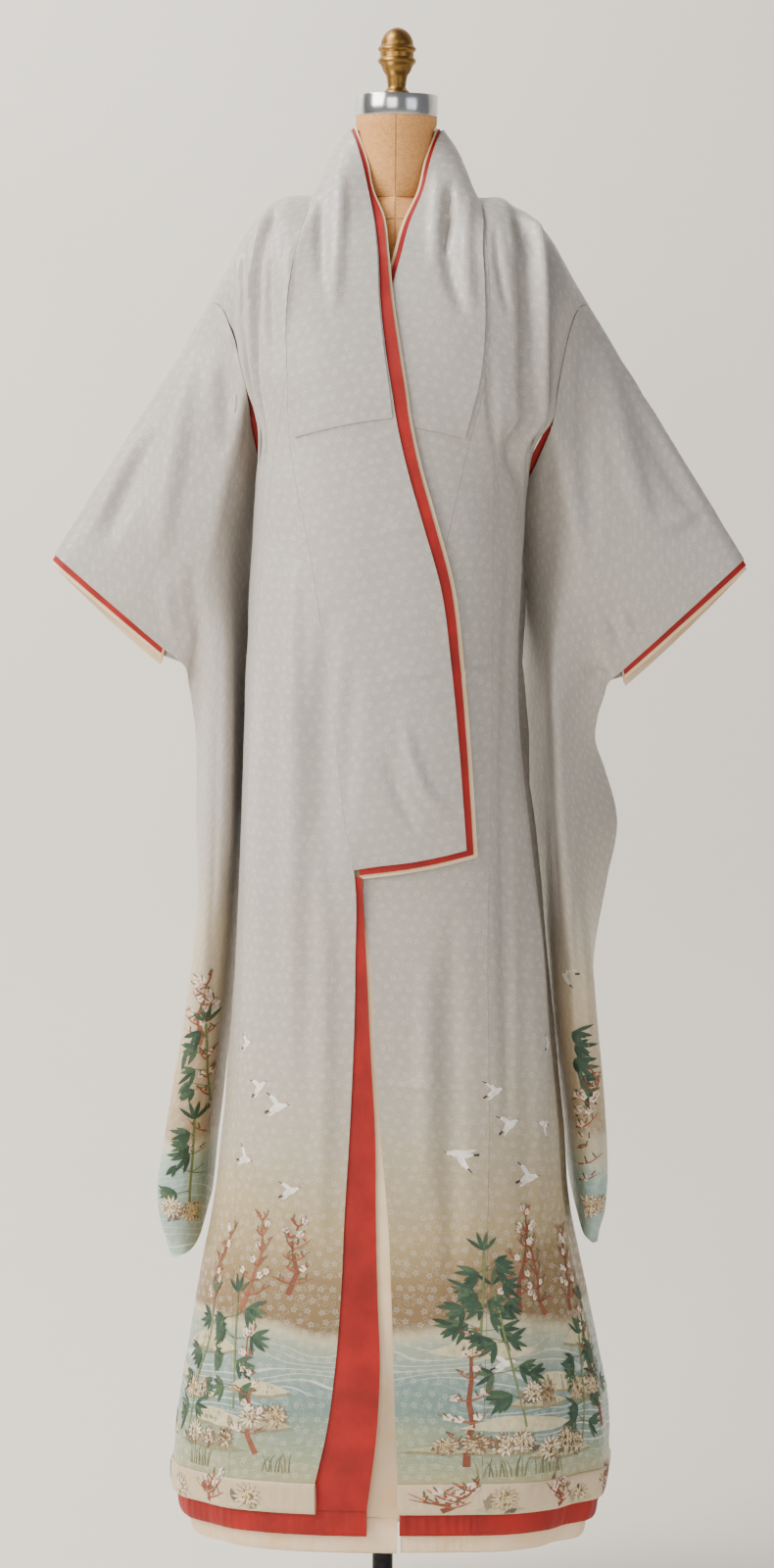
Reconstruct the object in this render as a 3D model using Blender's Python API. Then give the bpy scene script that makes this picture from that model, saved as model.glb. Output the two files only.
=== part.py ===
"""Silk kimono worn open on a dress form, in metres, +Z up.

The origin is the middle of the base's underside, +X is to the right as seen from the front and
-Y is the front. Left and right in the names are as seen from the front. The left front lies on top.

The body cloth hangs on one smooth skin around the form. A place on the skin is an angle around it,
0 at the front middle, negative on the left and 180 at the back middle, and a level. Below the
underarm a level is a height counted down from it, and above it runs from 0 to 1 over the shoulder.
"""
import math
from collections import namedtuple

import bpy
from mathutils import Vector

# Cloth thicknesses and clearances
CLOTH = 0.0016
LINING = 0.0012
SEAM = 0.0003
SEAM_TURN = 0.06          # half a seam gap as degrees around the body
ROUND = 2.5               # 2 would make the body's plan an ellipse

# Heights above the floor
HEM = 0.187
HEM_BAND_TOP = 0.2277
COLLAR_END = 1.025
UNDERARM = 1.61
SHOULDER = 1.900
RING_TOP = 2.0334
FINIAL_TOP = 2.1223
FORM_BOTTOM = 1.12

# How far the left front stands off the right one where they lap
LAP_COLLAR = 0.011
LAP_HEM = 0.004
OVER_COLLAR_RISE = 0.0008  # how much the over collar stands up along the collar seam

# The armhole seam sits this far around the body, and ends at these levels below
ARMHOLE_TURN = 72.0
ARMHOLE_END = {"left": 0.1, "right": 0.0}
SLEEVE_SEAM_TURN = 0.25   # the seam gap of the sleeve as degrees around the body

Body = namedtuple("Body", "z left right front back")
BODY = [
    Body(0.120, 0.272, 0.288, 0.183, 0.178),
    Body(0.187, 0.279, 0.294, 0.184, 0.176),
    Body(0.250, 0.281, 0.301, 0.183, 0.173),
    Body(0.305, 0.273, 0.297, 0.180, 0.170),
    Body(0.370, 0.263, 0.284, 0.176, 0.165),
    Body(0.470, 0.247, 0.262, 0.170, 0.157),
    Body(0.560, 0.231, 0.242, 0.165, 0.150),
    Body(0.680, 0.217, 0.231, 0.160, 0.143),
    Body(0.790, 0.209, 0.219, 0.157, 0.138),
    Body(0.900, 0.202, 0.207, 0.155, 0.134),
    Body(1.040, 0.197, 0.189, 0.153, 0.131),
    Body(1.260, 0.192, 0.170, 0.152, 0.130),
    Body(1.390, 0.187, 0.171, 0.151, 0.129),
    Body(1.520, 0.180, 0.176, 0.150, 0.128),
    Body(1.580, 0.1800, 0.192, 0.150, 0.127),
    Body(1.610, 0.1850, 0.216, 0.149, 0.126),
]

Shoulder = namedtuple("Shoulder", "level left right front back")
SHOULDERS = [
    Shoulder(0.00, 0.1850, 0.216, 0.149, 0.126),
    Shoulder(0.10, 0.1990, 0.221, 0.149, 0.126),
    Shoulder(0.25, 0.212, 0.229, 0.148, 0.125),
    Shoulder(0.50, 0.230, 0.243, 0.147, 0.124),
    Shoulder(0.75, 0.248, 0.258, 0.146, 0.123),
    Shoulder(1.00, 0.263, 0.271, 0.146, 0.122),
]

Top = namedtuple("Top", "out left right")
SHOULDER_LINE = [
    Top(0.000, 1.900, 1.900),
    Top(0.137, 1.900, 1.900),
    Top(0.160, 1.891, 1.885),
    Top(0.185, 1.867, 1.872),
    Top(0.205, 1.832, 1.843),
    Top(0.242, 1.763, 1.783),
    Top(0.260, 1.728, 1.753),
    Top(0.280, 1.692, 1.722),
]

# Where the seams and edges of the fronts lie across the picture of the front
Front = namedtuple("Front", "z okumi_left okumi_right inner_left inner_right red")
FRONTS = [
    Front(0.120, -0.1985, 0.126, -0.108, 0.0230, -0.030),
    Front(0.187, -0.1985, 0.126, -0.096, 0.0195, -0.022),
    Front(0.228, -0.1980, 0.127, -0.087, 0.0180, -0.016),
    Front(0.300, -0.1980, 0.1285, -0.072, 0.0145, -0.009),
    Front(0.380, -0.1970, 0.130, -0.0625, 0.0110, -0.006),
    Front(0.470, -0.1960, 0.131, -0.0560, 0.0075, -0.010),
    Front(0.570, -0.1950, 0.1315, -0.0525, 0.0020, -0.013),
    Front(0.680, -0.1930, 0.1325, -0.0470, -0.0085, -0.015),
    Front(0.790, -0.1915, 0.131, -0.0430, -0.0170, -0.022),
    Front(0.900, -0.1890, 0.1285, -0.0415, -0.0225, -0.028),
    Front(1.025, -0.1850, 0.129, -0.0430, -0.0315, -0.034),
    Front(1.085, -0.1830, 0.130, -0.0550, -0.0094, -0.036),
    Front(1.263, -0.1720, 0.130, -0.0760, 0.0330, -0.036),
    Front(1.378, -0.1630, 0.130, -0.0912, 0.0570, -0.036),
    Front(1.450, -0.1570, 0.130, -0.1030, 0.0700, -0.036),
    Front(1.570, -0.1435, 0.1285, -0.1250, 0.0960, -0.036),
    Front(1.662, -0.1330, 0.1195, -0.1315, 0.1180, -0.036),
    Front(1.732, -0.1348, 0.121, -0.1348, 0.1230, -0.036),
    Front(1.834, -0.1240, 0.117, -0.1240, 0.1185, -0.036),
    Front(1.880, -0.1120, 0.110, -0.1120, 0.1120, -0.036),
    Front(1.900, -0.0980, 0.100, -0.0980, 0.1000, -0.036),
]

# The collar's outer edge over the chest, and how much red and white silk shows beyond it
Edge = namedtuple("Edge", "z left right red_left white_left")
EDGES = [
    Edge(1.050, 0.0942, -0.1600, 0.0100, 0.0165),
    Edge(1.212, 0.0805, -0.1380, 0.0115, 0.0180),
    Edge(1.389, 0.0593, -0.1050, 0.0135, 0.0190),
    Edge(1.465, 0.0385, -0.0850, 0.0145, 0.0195),
    Edge(1.581, 0.0080, -0.0550, 0.0155, 0.0195),
    Edge(1.658, -0.0051, -0.0360, 0.0170, 0.0205),
    Edge(1.738, -0.0170, -0.0150, 0.0150, 0.0185),
    Edge(1.801, -0.0202, 0.0026, 0.0105, 0.0140),
    Edge(1.875, -0.0298, 0.0220, 0.0105, 0.0140),
]

# The collar standing around the neck, from the chest to the back middle
Stand = namedtuple("Stand", "half level seam out deep up")
STANDS = [
    Stand("front", 0.67, 0.1165, 0.0355, -0.0560, 1.9050),
    Stand("front", 0.78, 0.1110, 0.0440, -0.0400, 1.9430),
    Stand("front", 0.89, 0.1040, 0.0530, -0.0210, 1.9740),
    Stand("front", 0.95, 0.1000, 0.0575, -0.0090, 1.9850),
    Stand("front", 1.00, 0.0975, 0.0595, 0.0030, 1.9890),
    Stand("back", 0.95, 0.0960, 0.0590, 0.0150, 1.9890),
    Stand("back", 0.89, 0.0900, 0.0560, 0.0270, 1.9860),
    Stand("back", 0.78, 0.0700, 0.0390, 0.0480, 1.9790),
    Stand("back", 0.67, 0.0000, 0.0000, 0.0620, 1.9740),
]

# Soft folds. Over the shoulders they drift inwards as they rise, and below they hang straight
Fold = namedtuple("Fold", "side turn drift width low high depth_low depth_high")
FOLDS = [
    Fold("left", 60, -31, 5, 1.50, 1.885, -0.006, -0.016),
    Fold("left", 68, -31, 4, 1.50, 1.870, -0.002, -0.008),
    Fold("right", 49, -20, 5, 1.50, 1.880, -0.008, -0.017),
    Fold("right", 60, -26, 6, 1.54, 1.880, 0.004, 0.010),
    Fold("right", 68, -26, 4, 1.52, 1.880, -0.006, -0.012),
    Fold("left", 98, 0, 14, 0.12, 1.42, -0.008, -0.012),
    Fold("left", 122, 0, 16, 0.12, 1.50, 0.016, 0.010),
    Fold("left", 146, 0, 13, 0.12, 1.55, -0.014, -0.010),
    Fold("left", 164, 0, 13, 0.12, 1.60, 0.010, 0.008),
    Fold("right", 88, 0, 10, 0.12, 1.42, -0.006, -0.014),
    Fold("right", 106, 0, 15, 0.12, 1.48, 0.012, 0.012),
    Fold("right", 130, 0, 14, 0.12, 1.52, -0.016, -0.012),
    Fold("right", 150, 0, 14, 0.12, 1.60, 0.014, 0.010),
    Fold("right", 170, 0, 12, 0.12, 1.60, -0.010, -0.006),
    Fold("left", 55, 0, 16, 0.12, 0.70, -0.007, 0.0),
    Fold("right", 30, 0, 16, 0.12, 0.80, 0.005, 0.0),
    Fold("right", 58, 0, 15, 0.12, 0.80, -0.010, 0.0),
]

# Rows of the body panels: heights up to the underarm, then levels over the shoulder
LOW_ROWS = [0.228, 0.30, 0.38, 0.47, 0.57, 0.68, 0.79, 0.90, COLLAR_END, 1.085, 1.17, 1.263,
            1.36, 1.45, 1.52, 1.58]
HIGH_ROWS = [0.0, 0.1, 0.25, 0.4, 0.55, 0.67, 0.78, 0.89, 0.95]
OKUMI_TOP = 0.1
RED_FRONT_LOW = 0.2010
RED_FRONT_TOP = 1.0155
WHITE_FRONT_LOW = 0.1828
UNDER_EDGE = 0.008        # how far an inner layer runs on under the edge in front of it
BODY_STRIPS = 7
COLLAR_STRIPS = 5

# Where the two deep creases over each shoulder run, in degrees: the first crease's turn under the
# arm and its drift as it rises, how far apart the second one is and how much that closes, and how
# the cloth before the first is shared out
ShoulderCrease = namedtuple("ShoulderCrease", "turn drift apart closing share")
SHOULDER_CREASES = {
    "left": ShoulderCrease(60, 31, 8, 0, 0.66),
    "right": ShoulderCrease(49, 20, 19, 6, 0.72),
}
CREASE_EDGE = 5           # degrees from a crease's bottom to where it starts
CREASE_ROOM = 3

# A sleeve's middle surface: lines across it at each distance down the cloth from its top fold.
# Below the arm the cloth folds forward into a hanging column, so its lines bend around a ridge
Sleeve = namedtuple("Sleeve", "down inner flank ridge turn outer")
SLEEVES = {
    "left": [
        Sleeve(0.00, (-0.2545, 0.000, 1.7370), (-0.3020, 0.000, 1.6600),
               (-0.3500, -0.002, 1.5820), (-0.3980, -0.002, 1.5050), (-0.4460, 0.000, 1.4270)),
        Sleeve(0.23, (-0.2000, -0.004, 1.6450), (-0.2165, -0.008, 1.5540),
               (-0.2350, -0.016, 1.4630), (-0.2540, -0.015, 1.3720), (-0.2730, -0.004, 1.2810)),
        Sleeve(0.40, (-0.1880, 0.052, 1.4760), (-0.2140, 0.008, 1.4100),
               (-0.2250, -0.028, 1.3350), (-0.2430, -0.020, 1.2500), (-0.2580, 0.045, 1.1900)),
        Sleeve(0.55, (-0.1880, 0.085, 1.3300), (-0.2060, 0.012, 1.2800),
               (-0.2220, -0.032, 1.2050), (-0.2430, -0.016, 1.1230), (-0.2570, 0.066, 1.0850)),
        Sleeve(0.75, (-0.1920, 0.092, 1.1280), (-0.2060, 0.012, 1.0850),
               (-0.2260, -0.032, 1.0100), (-0.2520, -0.014, 0.9300), (-0.2560, 0.070, 0.8950)),
        Sleeve(1.00, (-0.2050, 0.092, 0.8800), (-0.2240, 0.014, 0.8380),
               (-0.2520, -0.028, 0.7650), (-0.2860, -0.012, 0.6900), (-0.2840, 0.072, 0.6580)),
        Sleeve(1.15, (-0.2240, 0.088, 0.7000), (-0.2430, 0.016, 0.6550),
               (-0.2700, -0.020, 0.6060), (-0.3010, -0.006, 0.5780), (-0.2980, 0.060, 0.5720)),
        Sleeve(1.27, (-0.2370, 0.080, 0.5700), (-0.2500, 0.024, 0.5200),
               (-0.2670, -0.006, 0.4980), (-0.2860, 0.002, 0.4930), (-0.2940, 0.050, 0.4950)),
    ],
    "right": [
        Sleeve(0.00, (0.2625, 0.000, 1.7510), (0.3120, 0.000, 1.6700),
               (0.3630, -0.002, 1.5900), (0.4140, -0.002, 1.5100), (0.4650, 0.000, 1.4290)),
        Sleeve(0.23, (0.2180, -0.004, 1.6000), (0.2310, -0.008, 1.5170),
               (0.2500, -0.016, 1.4330), (0.2695, -0.015, 1.3500), (0.2890, -0.004, 1.2660)),
        Sleeve(0.40, (0.1750, 0.060, 1.4500), (0.2020, 0.008, 1.3880),
               (0.2170, -0.031, 1.3120), (0.2380, -0.018, 1.2280), (0.2720, 0.050, 1.1860)),
        Sleeve(0.55, (0.1800, 0.088, 1.3000), (0.2020, 0.012, 1.2550),
               (0.2190, -0.034, 1.1800), (0.2450, -0.012, 1.1000), (0.3020, 0.052, 1.0850)),
        Sleeve(0.75, (0.1920, 0.092, 1.1150), (0.2160, 0.014, 1.0720),
               (0.2350, -0.030, 0.9980), (0.2640, -0.010, 0.9220), (0.2740, 0.072, 0.8920)),
        Sleeve(1.00, (0.2150, 0.092, 0.8700), (0.2300, 0.014, 0.8280),
               (0.2540, -0.028, 0.7570), (0.2870, -0.010, 0.6830), (0.2880, 0.074, 0.6550)),
        Sleeve(1.15, (0.2340, 0.088, 0.7100), (0.2500, 0.016, 0.6700),
               (0.2680, -0.020, 0.6200), (0.2900, -0.006, 0.5900), (0.2900, 0.060, 0.5850)),
        Sleeve(1.27, (0.2490, 0.080, 0.5950), (0.2600, 0.024, 0.5480),
               (0.2690, -0.006, 0.5240), (0.2810, 0.001, 0.5170), (0.2860, 0.050, 0.5180)),
    ],
}
SLEEVE_ROWS = [1.27, 1.22, 1.15, 1.06, 0.96, 0.85, 0.75, 0.65, 0.55, 0.47, 0.40, 0.34, 0.28]
SLEEVE_COLUMNS = [0.0, 0.1, 0.25, 0.38, 0.5, 0.62, 0.75, 0.87, 1.0]
CUFF = 0.23               # depth of the armhole and of the cuff opening along the cloth
SLEEVE_WIDTH = 0.36
SLEEVE_LENGTH = 1.27
SLEEVE_CORNER = 0.09      # radius of the rounded lower corner
BACK_CUFF_DROP = 0.012
SPACE_TURN = (0.26, 0.42)  # where the space between the layers turns with the folding cloth

# Half the space between a sleeve's front and back cloth
Space = namedtuple("Space", "down inner outer")
SPACES = [
    Space(0.000, 0.0000, 0.0000),
    Space(0.013, 0.0110, 0.0090),
    Space(0.060, 0.0280, 0.0170),
    Space(0.120, 0.0410, 0.0210),
    Space(0.190, 0.0460, 0.0160),
    Space(0.230, 0.0500, 0.0085),
    Space(0.280, 0.0340, 0.0020),
    Space(0.340, 0.0110, 0.0014),
    Space(0.400, 0.0030, 0.0012),
    Space(0.600, 0.0016, 0.0012),
    Space(1.150, 0.0016, 0.0012),
    Space(1.270, 0.0010, 0.0010),
]

# The silk layers inside the cuffs: how deep they lie and how far they stand out
Cuff = namedtuple("Cuff", "depth show")
CUFF_RED = Cuff(0.0007, 0.008)
CUFF_WHITE = Cuff(0.0026, 0.013)

# How deep the silk layers lie behind the collar, at the chest and at the neck
Depth = namedtuple("Depth", "chest neck")
RED_COLLAR = Depth(0.0010, 0.0010)
WHITE_COLLAR = Depth(0.0043, 0.0026)

# The padded hem: each piece's middle out from the skin, half its thickness, and its lowest and
# highest line
Padding = namedtuple("Padding", "out half low high")
HEM_BAND = Padding(CLOTH / 2, 0.0038, HEM, HEM_BAND_TOP)
RED_ROLL = Padding(-0.0098, 0.0062, 0.157, 0.200)
WHITE_ROLL = Padding(-0.0228, 0.0062, 0.132, 0.182)
WHITE_ROLL_ENDS = {"left": 0.0200, "right": 0.0260}

# How far the red silk in the slit under each arm reaches towards the body
Slit = namedtuple("Slit", "down left right")
SLITS = [Slit(0.230, 0.003, 0.002), Slit(0.280, 0.014, 0.018), Slit(0.340, 0.003, 0.002)]
UNDERARM_DEPTH = 0.0012
UNDERARM_TURN = 0.003     # how far it runs past the sleeve's edge before it turns

# The form: plan sections from the hips up to the neck
Torso = namedtuple("Torso", "z half front back round")
TORSO = [
    Torso(1.120, 0.148, 0.104, 0.108, 2.3),
    Torso(1.135, 0.156, 0.110, 0.114, 2.3),
    Torso(1.200, 0.155, 0.108, 0.112, 2.3),
    Torso(1.300, 0.138, 0.098, 0.098, 2.2),
    Torso(1.400, 0.119, 0.090, 0.086, 2.2),
    Torso(1.480, 0.122, 0.096, 0.086, 2.2),
    Torso(1.570, 0.136, 0.114, 0.092, 2.2),
    Torso(1.660, 0.150, 0.121, 0.097, 2.2),
    Torso(1.740, 0.163, 0.108, 0.096, 2.2),
    Torso(1.800, 0.166, 0.087, 0.078, 2.1),
    Torso(1.845, 0.158, 0.067, 0.058, 2.0),
    Torso(1.875, 0.143, 0.052, 0.041, 1.7),
    Torso(1.8970, 0.128, 0.0460, 0.0400, 0.9),
    Torso(1.8994, 0.120, 0.0440, 0.0380, 0.8),
    Torso(1.8996, 0.086, 0.0438, 0.0380, 1.0),
    Torso(1.9120, 0.066, 0.0435, 0.0420, 1.6),
    Torso(1.9350, 0.052, 0.046, 0.046, 1.9),
    Torso(1.9860, 0.0485, 0.0485, 0.0485, 2.0),
    Torso(1.9945, 0.0532, 0.0532, 0.0532, 2.0),
    Torso(2.0052, 0.0535, 0.0535, 0.0535, 2.0),
]

Turned = namedtuple("Turned", "z radius")
FINIAL = [
    Turned(2.0337, 0.0165), Turned(2.0375, 0.0171), Turned(2.0405, 0.0145),
    Turned(2.0440, 0.0119), Turned(2.0510, 0.0128), Turned(2.0580, 0.0138),
    Turned(2.0650, 0.0180), Turned(2.0725, 0.0212), Turned(2.0755, 0.0238),
    Turned(2.0785, 0.0252), Turned(2.0815, 0.0238), Turned(2.0838, 0.0220),
    Turned(2.0895, 0.0220), Turned(2.0915, 0.0240), Turned(2.0940, 0.0252),
    Turned(2.0965, 0.0240), Turned(2.0990, 0.0216), Turned(2.1040, 0.0209),
    Turned(2.1100, 0.0186), Turned(2.1160, 0.0141), Turned(2.1200, 0.0085),
    Turned(FINIAL_TOP, 0.0020),
]
RING_RADIUS = 0.0545
RING_BOTTOM = 2.0055
POLE_RADIUS = 0.0137
BASE_RADIUS = 0.19
BASE_EDGE = 0.010
BASE_THICK = 0.016
HUB_RADIUS = 0.030
HUB_TOP = 0.046


def read(table, field, at):
    """Smooth value of one column of a table at a place along its first column."""
    keys = [row[0] for row in table]
    values = [getattr(row, field) for row in table]
    if at <= keys[0]:
        return values[0]
    if at >= keys[-1]:
        return values[-1]
    i = max(k for k in range(len(keys) - 1) if keys[k] <= at)
    span = keys[i + 1] - keys[i]
    t = (at - keys[i]) / span

    def slope(k):
        if k == 0 or k == len(keys) - 1:
            return (values[min(k + 1, len(keys) - 1)] - values[max(k - 1, 0)]) / (
                keys[min(k + 1, len(keys) - 1)] - keys[max(k - 1, 0)])
        before = (values[k] - values[k - 1]) / (keys[k] - keys[k - 1])
        after = (values[k + 1] - values[k]) / (keys[k + 1] - keys[k])
        if before * after <= 0:
            return 0.0
        return 2 * before * after / (before + after)

    rise = values[i + 1] - values[i]
    start = slope(i) * span
    finish = slope(i + 1) * span
    return (values[i] + start * t + (3 * rise - 2 * start - finish) * t * t
            + (start + finish - 2 * rise) * t ** 3)


def ease(value, low, high):
    """0 below low, 1 above high and a smooth step between."""
    t = min(max((value - low) / (high - low), 0.0), 1.0)
    return t * t * (3 - 2 * t)


def mix(a, b, t):
    return a + (b - a) * t


def level_of(z):
    """The level of a height over the chest."""
    if z <= UNDERARM:
        return z - UNDERARM
    rise = min((z - UNDERARM) / (SHOULDER - UNDERARM), 1.0)
    return math.asin(rise) / (math.pi / 2)


def height_of(level):
    """The height of a level over the chest, where the shoulder line is flat."""
    if level <= 0:
        return UNDERARM + level
    return UNDERARM + (SHOULDER - UNDERARM) * math.sin(level * math.pi / 2)


def girth(side, half, level):
    """Half width and depth of the body at a level."""
    if level <= 0:
        z = UNDERARM + level
        return read(BODY, side, z), read(BODY, half, z)
    return read(SHOULDERS, side, level), read(SHOULDERS, half, level)


def folds_at(angle, level):
    """How far the folds push the cloth out at a place."""
    z = height_of(level)
    side = "left" if angle < 0 else "right"
    push = 0.0
    for fold in FOLDS:
        middle = fold.turn + fold.drift * max(level, 0.0)
        away = abs(abs(angle) - middle) / fold.width
        if fold.side != side or away >= 1:
            continue
        depth = mix(fold.depth_low, fold.depth_high, ease(z, fold.low, fold.high))
        fade = 1 - ease(z, fold.high - 0.12, fold.high)
        if fold.drift:
            depth = fold.depth_high
            fade = ease(z, fold.low, fold.low + 0.10) * (1 - ease(z, fold.high, SHOULDER - 0.001))
        push += depth * fade * math.cos(away * math.pi / 2) ** 2
    return push


def skin(angle, level, out=0.0):
    """The place on the body's skin at an angle and a level, pushed out by a distance."""
    side = "left" if angle < 0 else "right"
    half = "front" if abs(angle) <= 90 else "back"
    width, depth = girth(side, half, level)
    out += folds_at(angle, level)
    turn = math.radians(abs(angle))
    across = math.sin(turn) ** (2 / ROUND)
    deep = abs(math.cos(turn)) ** (2 / ROUND)
    x = (width + out) * across
    y = (depth + out) * deep
    z = UNDERARM + level
    if level > 0:
        rise = math.sin(level * math.pi / 2)
        top = read(SHOULDER_LINE, side, width * across)
        run = 0.002
        slope = (read(SHOULDER_LINE, side, width * across + run) - top) / run
        steep = math.hypot(1, slope)
        x = width * across + out * mix(across, -slope / steep, rise)
        y *= math.cos(level * math.pi / 2)
        z = UNDERARM + (top - UNDERARM) * rise + out * rise / steep
    return Vector((-x if side == "left" else x, -y if half == "front" else y, z))


def angle_at(x, level):
    """The angle on the front where the skin has this x."""
    side = "left" if x < 0 else "right"
    width = girth(side, "front", level)[0]
    share = min(abs(x) / width, 0.999)
    angle = math.degrees(math.asin(share ** (ROUND / 2)))
    return -angle if x < 0 else angle


def lap(angle, level):
    """How far the left front stands off, so that it clears what it laps over."""
    z = height_of(level)
    stand = mix(LAP_HEM, LAP_COLLAR, ease(z, 0.90, 1.0))
    return stand * ease(angle, -78, -50) * (1 - ease(level, 0.5, 0.95))


def inner_turn(side, level):
    """The angle of a front's inner edge, or of its collar seam."""
    return angle_at(read(FRONTS, "inner_" + side, height_of(level)), level)


def okumi_turn(side, level):
    return angle_at(read(FRONTS, "okumi_" + side, height_of(level)), level)


def side_turn(side, level):
    """How far around the body the side seam, or the armhole, lies."""
    z = height_of(level)
    turn = mix(112 if side == "left" else 110, 90, ease(z, 1.0, 1.50))
    return mix(turn, ARMHOLE_TURN, ease(z, 1.50, UNDERARM))


def back_side_turn(side, level):
    z = height_of(level)
    turn = mix(112 if side == "left" else 110, 90, ease(z, 1.0, 1.50))
    return mix(turn, 180 - ARMHOLE_TURN, ease(z, 1.50, UNDERARM))


def front_columns(side, level):
    """Angles of a front panel's columns. Over the shoulder they follow the folds."""
    inner = abs(okumi_turn(side, level))
    if level > OKUMI_TOP:
        inner = abs(inner_turn(side, level))
    for stand in STANDS:
        if stand.half == "front" and abs(stand.level - level) < 0.001:
            inner = abs(angle_at(sign(side) * stand.seam, level))
    inner += SEAM_TURN
    outer = side_turn(side, level) - SEAM_TURN
    even = [mix(inner, outer, i / BODY_STRIPS) for i in range(BODY_STRIPS + 1)]
    shoulder = SHOULDER_CREASES[side]
    crease = shoulder.turn - shoulder.drift * max(level, 0)
    second = crease + shoulder.apart - shoulder.closing * max(level, 0)
    start = crease - CREASE_EDGE
    before = mix(inner, start, 0.6)
    if side == "right" or start < inner + CREASE_ROOM:
        start = mix(inner, crease, shoulder.share)
        before = mix(inner, crease, shoulder.share / 2)
    follow = [inner, before, start, crease, mix(crease, second, 0.5), second, mix(second, outer, 0.5), outer]
    share = ease(level, -0.10, 0.0) if level < 0 else 1.0
    return [mix(a, b, share) for a, b in zip(even, follow)]


def back_columns(side, level):
    """Angles of a back panel's columns, from the side to the middle."""
    outer = back_side_turn(side, level) + SEAM_TURN
    inner = 180 - SEAM_TURN
    for stand in STANDS:
        if stand.half == "back" and abs(stand.level - level) < 0.001 and stand.seam > 0:
            inner = 180 - abs(angle_at(sign(side) * stand.seam, level)) - SEAM_TURN
    even = [mix(inner, outer, i / BODY_STRIPS) for i in range(BODY_STRIPS + 1)]
    top = [180 - a for a in front_columns(side, 1.0)]
    share = ease(level, 0.6, 0.97)
    middle = [mix(a, b, share) for a, b in zip(even, top)]
    return [inner] + middle[1:-1] + [outer]


def sign(side):
    return -1 if side == "left" else 1


def normals(grid):
    """A unit normal at each point of a grid, from its neighbours."""
    rows, columns = len(grid), len(grid[0])
    result = []
    for r in range(rows):
        line = []
        for c in range(columns):
            along = grid[min(r + 1, rows - 1)][c] - grid[max(r - 1, 0)][c]
            across = grid[r][min(c + 1, columns - 1)] - grid[r][max(c - 1, 0)]
            line.append(along.cross(across).normalized())
        result.append(line)
    return result


def moved(grid, distance):
    """A grid moved along its own normals."""
    return [[point + normal * distance for point, normal in zip(points, line)]
            for points, line in zip(grid, normals(grid))]


def make_object(name, points, faces, material):
    mesh = bpy.data.meshes.new(name)
    mesh.from_pydata([tuple(point) for point in points], [], faces)
    mesh.update()
    piece = bpy.data.objects.new(name, mesh)
    bpy.context.scene.collection.objects.link(piece)
    mesh.materials.append(material)
    mesh.shade_smooth()
    volume = sum(
        tri_volume(mesh.vertices, polygon.vertices) for polygon in mesh.polygons)
    if volume < 0:
        mesh.flip_normals()
    return piece


def tri_volume(vertices, corners):
    first = vertices[corners[0]].co
    total = 0.0
    for i in range(1, len(corners) - 1):
        total += first.dot(vertices[corners[i]].co.cross(vertices[corners[i + 1]].co))
    return total


def wall(name, inner, outer, material, fold_row=None):
    """A closed sheet of cloth between two grids of the same shape.

    Both faces are cut into triangles the same way, and so are the two layers on either side of a
    fold, so that neither a thin wall nor a flat folded piece crosses itself.
    """
    rows, columns = len(inner), len(inner[0])
    points = [point for line in inner for point in line] + [point for line in outer for point in line]
    shift = rows * columns

    def at(r, c, side):
        return side * shift + r * columns + c

    faces = []
    for r in range(rows - 1):
        for c in range(columns - 1):
            corners = [(r, c), (r, c + 1), (r + 1, c + 1), (r + 1, c)]
            if fold_row is not None and r >= fold_row:
                corners = corners[1:] + corners[:1]
            for a, b, d in (corners[:3], corners[2:] + corners[:1]):
                faces.append((at(*a, 0), at(*b, 0), at(*d, 0)))
                faces.append((at(*d, 1), at(*b, 1), at(*a, 1)))
    rim = [(0, c) for c in range(columns)] + [(r, columns - 1) for r in range(1, rows)]
    rim += [(rows - 1, c) for c in range(columns - 2, -1, -1)] + [(r, 0) for r in range(rows - 2, 0, -1)]
    for (r, c), (s, d) in zip(rim, rim[1:] + rim[:1]):
        faces.append((at(r, c, 0), at(r, c, 1), at(s, d, 1), at(s, d, 0)))
    return make_object(name, points, faces, material)


def tube(name, rings, material):
    """A closed solid through rings of points, with flat ends."""
    count = len(rings[0])
    points = [point for ring in rings for point in ring]
    faces = [tuple(reversed(range(count))),
             tuple(range((len(rings) - 1) * count, len(rings) * count))]
    for r in range(len(rings) - 1):
        for i in range(count):
            j = (i + 1) % count
            a = r * count
            faces.append((a + i, a + j, a + count + j, a + count + i))
    return make_object(name, points, faces, material)


def colour_material(name, colour, roughness, metallic=0.0):
    material = bpy.data.materials.new(name)
    material.use_nodes = True
    shader = material.node_tree.nodes["Principled BSDF"]
    shader.inputs["Base Color"].default_value = (*colour, 1.0)
    shader.inputs["Roughness"].default_value = roughness
    shader.inputs["Metallic"].default_value = metallic
    return material


def body_rows():
    """Rows of a body panel, from the front hem over the shoulder to the back hem."""
    low = [("front", z - UNDERARM) for z in LOW_ROWS]
    high = [("front", level) for level in HIGH_ROWS]
    back = [("back", level) for level in reversed(HIGH_ROWS)]
    back += [("back", z - UNDERARM) for z in reversed(LOW_ROWS)]
    return low + high + [("front", 1.0)] + back


def body_panel(side, material):
    """One length of cloth: a front and a back in one, open at its side and sewn along it."""
    grids = []
    for out in (0.0, CLOTH):
        grid = []
        for half, level in body_rows():
            if half == "front":
                turns = front_columns(side, level)
            else:
                turns = back_columns(side, level)
            line = []
            for turn in turns:
                angle = sign(side) * turn
                lift = lap(angle, level) if side == "left" and half == "front" else 0.0
                line.append(skin(angle, level, out + lift))
            grid.append(line)
        grids.append(grid)
    wall("body_" + side, grids[0], grids[1], material)


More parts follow.
